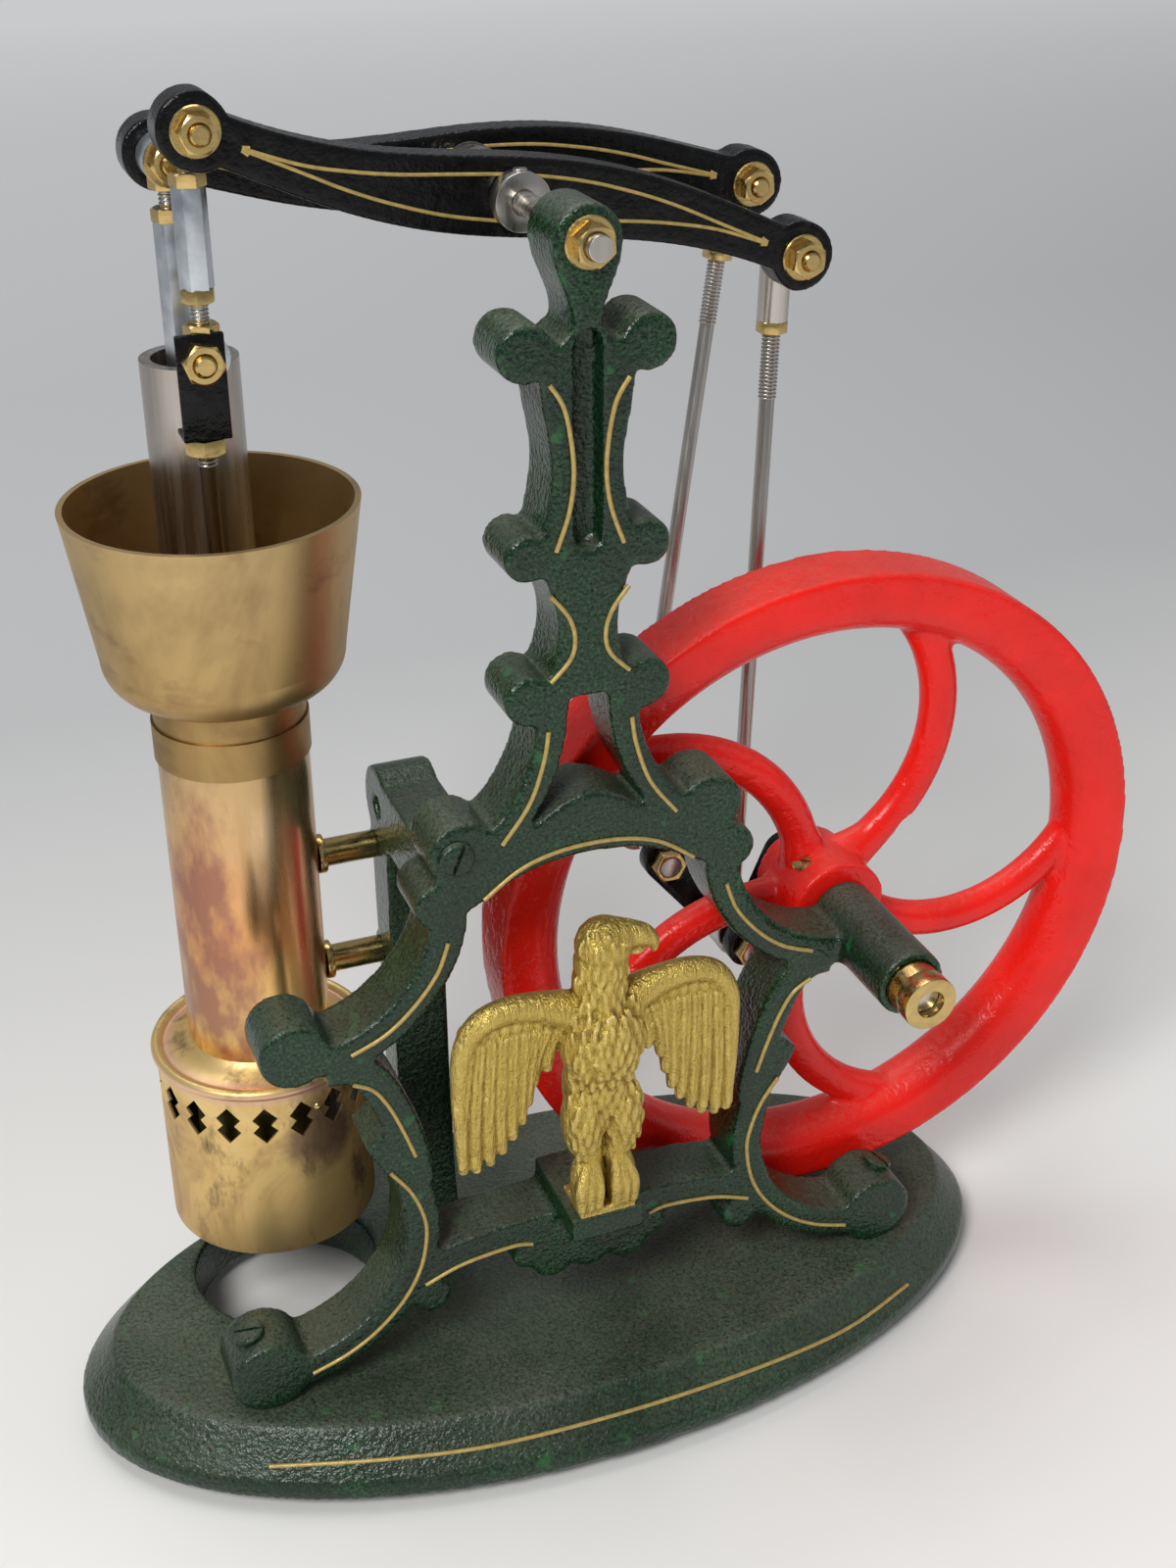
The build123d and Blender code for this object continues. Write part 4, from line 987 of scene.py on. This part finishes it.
class ENGINE_OT_eagle(bpy.types.Operator):
    """Gilded eagle with feathered wings on the platform"""

    bl_idname = "engine.eagle"
    bl_label = "Eagle"

    def execute(self, context):
        clay = Clay()
        middle = -32.0

        def lump(x, y, z, rx, ry, rz, lean=0.0):
            clay.lump((MIDDLE_X + x, middle + y, z), (rx, ry, rz), lean)

        def chain(points, count=10):
            """Row of lumps on a smooth curve through each (x, y, z, radius)."""
            knots = [points[0], *points, points[-1]]
            for before, a, b, after in zip(knots, knots[1:], knots[2:], knots[3:]):
                for i in range(count):
                    t = i / count
                    pull = (
                        -t + 2 * t**2 - t**3,
                        2 - 5 * t**2 + 3 * t**3,
                        t + 4 * t**2 - 3 * t**3,
                        t**3 - t**2,
                    )
                    near = zip(before, a, b, after)
                    x, y, z, r = (sum(w * value for w, value in zip(pull, row)) / 2 for row in near)
                    lump(x, y, z, r, r, r)

        # Body, breast, neck, head and thighs
        body = (
            (0, -0.5, 103, 9.2, 5.6, 6.5), (0, -1.6, 97, 8.9, 6.8, 12), (0, 0, 86, 7.8, 6.0, 12.5),
            (-0.2, -0.6, 110, 5.5, 5.3, 9), (0.2, -0.9, 115, 5.7, 5.3, 6.5),
            (0.6, -1.1, 119.2, 5.9, 5.3, 6.0),
            (4.3, -1.9, 78.5, 4.5, 4.5, 10), (-4.3, -1.9, 78.5, 4.5, 4.5, 10),
        )
        for shape in body:
            lump(*shape)

        def breast(x, z):
            """Front of the body at a place, or nothing beside it."""
            fronts = []
            for mid_x, mid_y, mid_z, rx, ry, rz in body:
                left = 1.0 - ((x - mid_x) / rx) ** 2 - ((z - mid_z) / rz) ** 2
                if left > 0.05:
                    fronts.append(mid_y - ry * math.sqrt(left))
            return min(fronts, default=None)

        # Brow and hooked beak turned to one side
        lump(3.2, -1.4, 120.6, 4.0, 4.1, 3.8)
        beak = (
            (5.0, -1.6, 121.0, 3.0), (8.8, -1.8, 119.9, 2.3),
            (10.9, -1.8, 117.9, 1.4), (11.2, -1.8, 115.9, 0.7),
        )
        chain(beak, 7)
        lump(6.6, -1.7, 117.2, 2.8, 1.8, 1.2, 14)
        lump(3.4, -5.0, 120.9, 1.6, 0.9, 0.7, 10)
        # Feathers in staggered rows from the crown to the thighs, with a bare face
        for row in range(20):
            for k in range(-4, 5):
                x = 1.8 * (k + 0.5 * (row % 2)) + 0.3 * math.sin(7.0 * row + 3.0 * k)
                z = 122.5 - 2.7 * row + 0.5 * math.sin(4.0 * k + row)
                front = breast(x, z)
                face = x > 1.5 and z > 115
                if front is not None and not face:
                    fine = 0.75 if z > 112 else 1.0
                    radii = (0.72 * fine, 0.6 * fine, 2.3 * fine)
                    lump(x, front + 0.2, z, *radii, 9 * math.sin(5.0 * row + k))
        # Thighs, shanks, feet and toes
        for side in (-1, 1):
            shank = (side * 2.9, -2.4, 69, 2.7)
            chain(((side * 4.0, -1.0, 82, 3.6), (side * 4.2, -2.1, 74.5, 3.8), shank), 8)
            chain((shank, (side * 4.1, -2.6, 64, 3.1), (side * 3.9, -2.8, 58.0, 3.0)), 8)
            for toe in (-1.9, 0.0, 1.9):
                x = side * 3.9 + toe
                knuckle = (side * 3.2 + toe * 0.5, -4.2, 67.5, 1.1)
                chain((knuckle, (x, -5.4, 62.5, 1.35), (x, -5.2, 57.2, 1.1)), 8)
        chain(((0, 2.0, 76, 3.4), (0, 2.4, 66, 3.6), (0, 2.4, 58, 4.0)), 9)
        # Wings: arm ridge and a fan of long fine feathers
        tips = (
            (11.0, 91.5), (14.0, 88.6), (15.2, 84), (16.6, 79.6), (18.6, 76.2), (21.0, 73.2), (23.6, 71),
            (26.6, 70), (29.4, 70.4),
        )
        arm = (
            (6, 0.0, 104.5, 4.2), (13, -0.2, 107.2, 3.1), (20, -0.4, 108.0, 2.75),
            (25.6, -0.3, 105.8, 2.55), (28.8, -0.2, 100, 2.3), (29.6, 0.0, 91, 1.9),
            (29.8, 0.0, 82, 1.5), (29.6, 0.1, 71.6, 1.0),
        )
        for side in (-1, 1):
            chain([(side * x, y, z, radius) for x, y, z, radius in arm], 9)
            for i, (tip_x, tip_z) in enumerate(tips):
                root = (side * (8.5 + 2.35 * i), 0.3, 104.5 - 0.05 * (i - 4) ** 2, 2.4)
                middle_x = side * (0.35 * (8.5 + 2.35 * i) + 0.65 * tip_x)
                middle_z = 0.45 * root[2] + 0.55 * tip_z
                chain((root, (middle_x, 0.4, middle_z, 1.55), (side * tip_x, 0.3, tip_z, 1.15)), 18)
                for edge, size, lift in ((1.15 * side, 0.62, 0.0), (0.1 * side, 0.4, 0.35)):
                    start = (root[0] + edge, -1.7 - lift, root[2] - 2, size)
                    through = (middle_x + edge, -0.85 - lift, middle_z, size)
                    end = (side * tip_x + edge * 0.6, -0.4 - lift, tip_z + 1.2, 0.8 * size)
                    chain((start, through, end), 36)
        # Small block that stands on the platform
        clay.block((MIDDLE_X, middle - 0.6, 56.0), (12.4, 10.4, 1.7))
        obj = piece("eagle_figure", clay.mesh("eagle_figure"))
        soften(obj, 0.36 * MM, 2)
        settle(obj, "frame", "gold_paint", finishes(context)["gilt"], "eagle")
        return {"FINISHED"}


class ENGINE_OT_burner(bpy.types.Operator):
    """Burner of sheet brass: flat cap, skirt with stamped vents, and its rivet"""

    bl_idname = "engine.burner"
    bl_label = "Burner"

    def execute(self, context):
        looks = finishes(context)
        neck, skirt = half_width("displacer_cylinder"), half_width("burner_skirt")
        cap = piece("burner_cap_sheet", mesh_from(merged_node("burner_cap"), "burner_cap_sheet"))
        axis = Vector(COLUMN) * MM
        for vert in cap.data.vertices:
            share = ((vert.co.xy - axis).length / MM - neck) / (skirt - neck)
            vert.co.z += (CAP_LIFT[0] + (CAP_LIFT[1] - CAP_LIFT[0]) * max(0.0, min(1.0, share))) * MM
        settle(cap, "frame", "brass", looks["burner"], "burner_cap", sharp=40)
        steps = 144
        foot, top = (corner[2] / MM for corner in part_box("burner_skirt"))
        top += CAP_LIFT[1]
        bm = bmesh.new()
        loops = []
        inside = skirt - SKIRT_WALL
        for radius, z in ((skirt, foot), (skirt, top), (inside, top), (inside, foot)):
            turns = [on_arc(*COLUMN, radius, 360 * i / steps) for i in range(steps)]
            loops.append([bm.verts.new(mm(x, y, z)) for x, y in turns])
        ring_walls(bm, loops, closed=True)
        sheet = piece("burner_skirt_sheet", mesh_from(bm, "burner_skirt_sheet"))
        stamp = bmesh.new()
        for k in range(VENTS):
            turn = math.radians(VENT_TURN + 360 * k / VENTS)
            out = Vector((math.cos(turn), math.sin(turn), 0))
            along = Vector((-math.sin(turn), math.cos(turn), 0))
            ends = []
            for reach in (skirt - STAMP_REACH, skirt + STAMP_REACH):
                middle = mm(*COLUMN, VENT_Z) + out * reach * MM
                places = [middle + (along * x + Vector((0, 0, z))) * MM for x, z in VENT_OUTLINE]
                ends.append([stamp.verts.new(place) for place in places])
            ring_walls(stamp, ends)
        bmesh.ops.recalc_face_normals(stamp, faces=stamp.faces)
        cut_away(sheet, piece("vent_stamps", mesh_from(stamp, "vent_stamps")))
        settle(sheet, "frame", "brass", looks["burner"], "burner_skirt", sharp=35)
        rivet = Clay()
        rivet.lump((*on_arc(*COLUMN, skirt - 0.4, RIVET_TURN), RIVET_Z), [RIVET_RADIUS] * 3)
        settle(piece("burner_rivet", rivet.mesh("burner_rivet")), "frame", "brass", looks["brass"])
        return {"FINISHED"}


class ENGINE_OT_fasteners(bpy.types.Operator):
    """Nuts, washers, screws and threads"""

    bl_idname = "engine.fasteners"
    bl_label = "Fasteners"

    def execute(self, context):
        looks = finishes(context)
        brass, steel, green = looks["brass"], looks["steel"], looks["green"]
        front, up, down = (0, -1, 0), (0, 0, 1), (0, 0, -1)
        for beam, (face, tilt, fore, aft) in BEAMS.items():
            right = on_arc(MIDDLE_X, PIVOT_Z, RIGHT_ARM, -tilt)
            left = on_arc(MIDDLE_X, PIVOT_Z, LEFT_ARM, 180 - tilt)
            places = [
                ((right[0], face, right[1]), front, BEAM_NUT, 12 - tilt),
                ((left[0], face + fore, left[1]), front, BEAM_NUT, 40 - tilt),
            ]
            obj = fasteners(beam + "_nuts", "nut", places, brass)
            for (place, *_), back in zip(places, (BOLT_DEPTH, aft)):
                add_shank(obj, (place[0], face + back, place[2]), place, BEAM_BOLT)
            settle(obj, beam, "brass", brass, beam + "_bolts", sharp=FASTENER_SHARP)
        head = ((MIDDLE_X, FACE_Y, PIVOT_Z), front, PIVOT_NUT, 8)
        fit("pivot_front_nut", "pivot_nut", [head], brass, "frame", "brass", "pivot_nut")
        boss = ((-43.2, FACE_Y - 0.2, 141.8), front, LOBE_SCREW, 68)
        fit("lobe_screw", "screw", [boss], green, "frame", "green_enamel")
        feet = [
            ((-90.56, -21.7, 33.96), (-0.32, 0, 0.95), FOOT_SCREW, 65),
            ((58.4, -20.9, 34.05), (0.35, 0, 0.94), FOOT_SCREW, 20),
        ]
        fit("foot_screws", "screw", feet, green, "frame", "green_enamel")
        collar_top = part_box("pivot_collars")[1][2] / MM
        collar = ((MIDDLE_X, 5.7, collar_top), up, COLLAR_SCREW, 30)
        fit("pivot_collar_screw", "screw", [collar], steel, "frame", "steel")
        clevis_nuts = [
            ((COLUMN[0], 15.9, 228.67), front, CLEVIS_NUT, 20),
            ((COLUMN[0], 19.2, 213.6), down, ROD_NUT, 15),
        ]
        fit("clevis_nuts", "bare_nut", clevis_nuts, brass, "displacer", "brass", "clevis_bolt")
        rod_top, rod_low = (COLUMN[0], 19.2, 210.6), (COLUMN[0], 19.2, 208.3)
        thread(context, "displacer_rod_thread", rod_top, rod_low, ROD_THREAD, "displacer", "steel", steel)
        for body, x, y, nuts, studs in LINKS:
            places = [((x, y, z), up if turn > 0 else down, LINK_NUT, 15) for z, turn in nuts]
            fit(body + "_nuts", "bare_nut", places, brass, body, "brass")
            for low, high in studs:
                name = f"{body}_thread_{low:.0f}"
                thread(context, name, (x, y, low), (x, y, high), LINK_THREAD, body, "steel", steel)
        for body, foot, head, y in RODS:
            line = (Vector(head) - Vector(foot)).normalized()
            start, end = (Vector(head) - line * reach for reach in ROD_STUD)
            ends = (start.x, y, start.y), (end.x, y, end.y)
            thread(context, body + "_thread", *ends, ROD_THREAD, body, "steel", steel)
        bm = bmesh.new()
        peg = Matrix.Translation(mm(-16.3, -34.3, 49.0)) @ Matrix.Diagonal((*mm(4.2, 3.0, 3.2), 1.0))
        bmesh.ops.create_cube(bm, size=1.0, matrix=peg)
        bmesh.ops.bevel(bm, geom=bm.edges[:], offset=0.3 * MM, segments=2, affect="EDGES")
        settle(piece("platform_peg", mesh_from(bm, "platform_peg")), "frame", "brass", looks["copper"])
        return {"FINISHED"}


def draw_in(obj):
    """Draws the beam pivot's shaft, or a bore on it, in to the size that the photo shows."""
    axis = mm(MIDDLE_X, 0, PIVOT_Z)
    reach = SHAFT_REACH * half_width("beam_pivot_shaft") * MM
    for vert in obj.data.vertices:
        out = vert.co - axis
        out.y = 0.0
        if out.length < reach:
            vert.co -= out * (1.0 - SHAFT_SLIM)


class ENGINE_OT_metal(bpy.types.Operator):
    """Machined brass and steel with broken edges"""

    bl_idname = "engine.metal"
    bl_label = "Brass and steel"

    def execute(self, context):
        looks = finishes(context)
        # Look, slot, width of the broken edge in millimetres, and nodes
        groups = (
            (
                "steel", "steel", 0.25,
                (
                    "crankshaft", "crank_pins", "front_rod_end", "rear_rod_end", "pivot_collars",
                    "beam_pivot_shaft",
                ),
            ),
            (
                "steel", "steel", 0.12,
                ("front_connecting_rod", "rear_connecting_rod", "displacer_rod", "power_piston"),
            ),
            ("zinc", "steel", 0.2, ("displacer_link", "piston_link")),
            (
                "brass", "brass", 0.2,
                (
                    "bearing_bush", "shaft_collar", "crank_nuts", "front_rod_lock_nut", "rear_rod_lock_nut",
                    "cylinder_stays",
                ),
            ),
            ("black", "black_enamel", 0.35, ("front_crank_web", "rear_crank_web", "displacer_clevis")),
        )
        bodies = frame["record"]["behaviour"]["bodies"]
        carrier = {node: body for body, nodes in bodies.items() for node in nodes}
        for look, slot, width, nodes in groups:
            for node in nodes:
                obj = eased(node, width)
                if node in ("beam_pivot_shaft", "pivot_collars"):
                    draw_in(obj)
                settle(obj, carrier[node], slot, looks[look], node, sharp=32)
        for node, look in (
            ("displacer_cylinder", "hot"), ("cylinder_collar", "cup"), ("water_cup", "cup"),
            ("power_cylinder", "bore"), ("bumper_feet", "bumper"),
        ):
            shown = frame["nodes"][node]
            shown.data.materials.clear()
            shown.data.materials.append(looks[look])
        return {"FINISHED"}


class ENGINE_OT_stage(bpy.types.Operator):
    """Pale floor, soft lamps and the camera"""

    bl_idname = "engine.stage"
    bl_label = "Stage"

    def execute(self, context):
        scene = context.scene
        scene.view_settings.view_transform = "Standard"
        bm = bmesh.new()
        bmesh.ops.create_grid(bm, x_segments=2, y_segments=2, size=6.0)
        floor = piece("floor", mesh_from(bm, "floor"))
        f = Finish("pale_floor", Roughness=0.75, Specular_IOR_Level=0.2)
        depth = f.span(f.part_of(f.place, "Y"), -200, 2600)
        # Painted light and shade in the floor's colour: pale near the camera, a darker band behind the
        # engine, paler again far off
        shade = f.ramp(
            depth,
            (0.0, (0.96, 0.945, 0.915)),
            (0.09, (0.74, 0.73, 0.7)),
            (0.2, (0.5, 0.5, 0.495)),
            (0.34, (0.5, 0.5, 0.5)),
            (1.0, (0.84, 0.84, 0.83)),
        )
        f.end(shade)
        # Painted light: the far floor glows paler to the eye and in what metal mirrors, and gives no light
        rays = f.put("ShaderNodeLightPath", {})
        seen = f.math("ADD", rays["Is Camera Ray"], rays["Is Glossy Ray"])
        seen = f.math("ADD", seen, rays["Is Transmission Ray"])
        painted_far_glow = f.ramp(depth, (0.14, 0.0), (0.45, 0.16), (0.85, 0.34))
        glow = f.put("ShaderNodeEmission", {"Color": painted_far_glow, "Strength": f.math("MINIMUM", seen, 1.0)})
        both = f.put("ShaderNodeAddShader", {0: f.skin.outputs[0], 1: glow[0]})
        f.join(both[0], f.tree.nodes["Material Output"].inputs["Surface"])
        floor.data.materials.append(f.material)

        for name, place, aim, size, power in LAMPS:
            data = bpy.data.lights.new(name, "AREA")
            data.size = size
            data.energy = power
            obj = bpy.data.objects.new(name, data)
            turn = (Vector(aim) - Vector(place)).to_track_quat("-Z", "Y").to_matrix().to_4x4()
            obj.matrix_world = Matrix.Translation(place) @ turn
            scene.collection.objects.link(obj)
        world = bpy.data.worlds.new("studio")
        scene.world = world
        world.use_nodes = True
        nodes, links = world.node_tree.nodes, world.node_tree.links
        sky = nodes.new("ShaderNodeMix")
        sky.data_type = "RGBA"
        sky.inputs[6].default_value = (0.25, 0.26, 0.28, 1.0)
        sky.inputs[7].default_value = (0.6, 0.6, 0.6, 1.0)
        links.new(nodes.new("ShaderNodeLightPath").outputs["Is Camera Ray"], sky.inputs[0])
        links.new(sky.outputs[2], nodes["Background"].inputs["Color"])

        data = bpy.data.cameras.new("photo_camera")
        data.sensor_fit = "VERTICAL"
        data.sensor_height = CAMERA_FILM
        data.lens = CAMERA_LENS
        data.clip_start = 0.01
        camera = bpy.data.objects.new("photo_camera", data)
        right, up = Vector(CAMERA_RIGHT), Vector(CAMERA_UP)
        turn = Matrix((right, up, right.cross(up))).transposed().to_4x4()
        camera.matrix_world = Matrix.Translation(mm(*CAMERA_PLACE)) @ turn
        scene.collection.objects.link(camera)
        scene.camera = camera
        return {"FINISHED"}


STEPS = (
    ENGINE_OT_castings,
    ENGINE_OT_flywheel,
    ENGINE_OT_beams,
    ENGINE_OT_gold_lines,
    ENGINE_OT_eagle,
    ENGINE_OT_burner,
    ENGINE_OT_fasteners,
    ENGINE_OT_metal,
    ENGINE_OT_stage,
)


class ENGINE_PT_panel(bpy.types.Panel):
    """Sidebar panel of the engine's looks"""

    bl_idname = "ENGINE_PT_panel"
    bl_label = "Hot air engine"
    bl_space_type = "VIEW_3D"
    bl_region_type = "UI"
    bl_category = "Engine"

    def draw(self, context):
        layout = self.layout
        for settings in (context.scene.engine_sizes, context.scene.engine_colours):
            for key in settings.bl_rna.properties.keys():
                if key not in ("rna_type", "name"):
                    layout.prop(settings, key)
        for step in STEPS:
            layout.operator(step.bl_idname)


CLASSES = (EngineSizes, EngineColours, *STEPS, ENGINE_PT_panel)


def register():
    for cls in CLASSES:
        bpy.utils.register_class(cls)
    bpy.types.Scene.engine_sizes = PointerProperty(type=EngineSizes)
    bpy.types.Scene.engine_colours = PointerProperty(type=EngineColours)


def unregister():
    del bpy.types.Scene.engine_colours
    del bpy.types.Scene.engine_sizes
    for cls in reversed(CLASSES):
        bpy.utils.unregister_class(cls)


def main():
    register()
    bpy.ops.engine.castings()
    bpy.ops.engine.flywheel()
    bpy.ops.engine.beams()
    bpy.ops.engine.gold_lines()
    bpy.ops.engine.eagle()
    bpy.ops.engine.burner()
    bpy.ops.engine.fasteners()
    bpy.ops.engine.metal()
    bpy.ops.engine.stage()


if __name__ == "__main__":
    main()
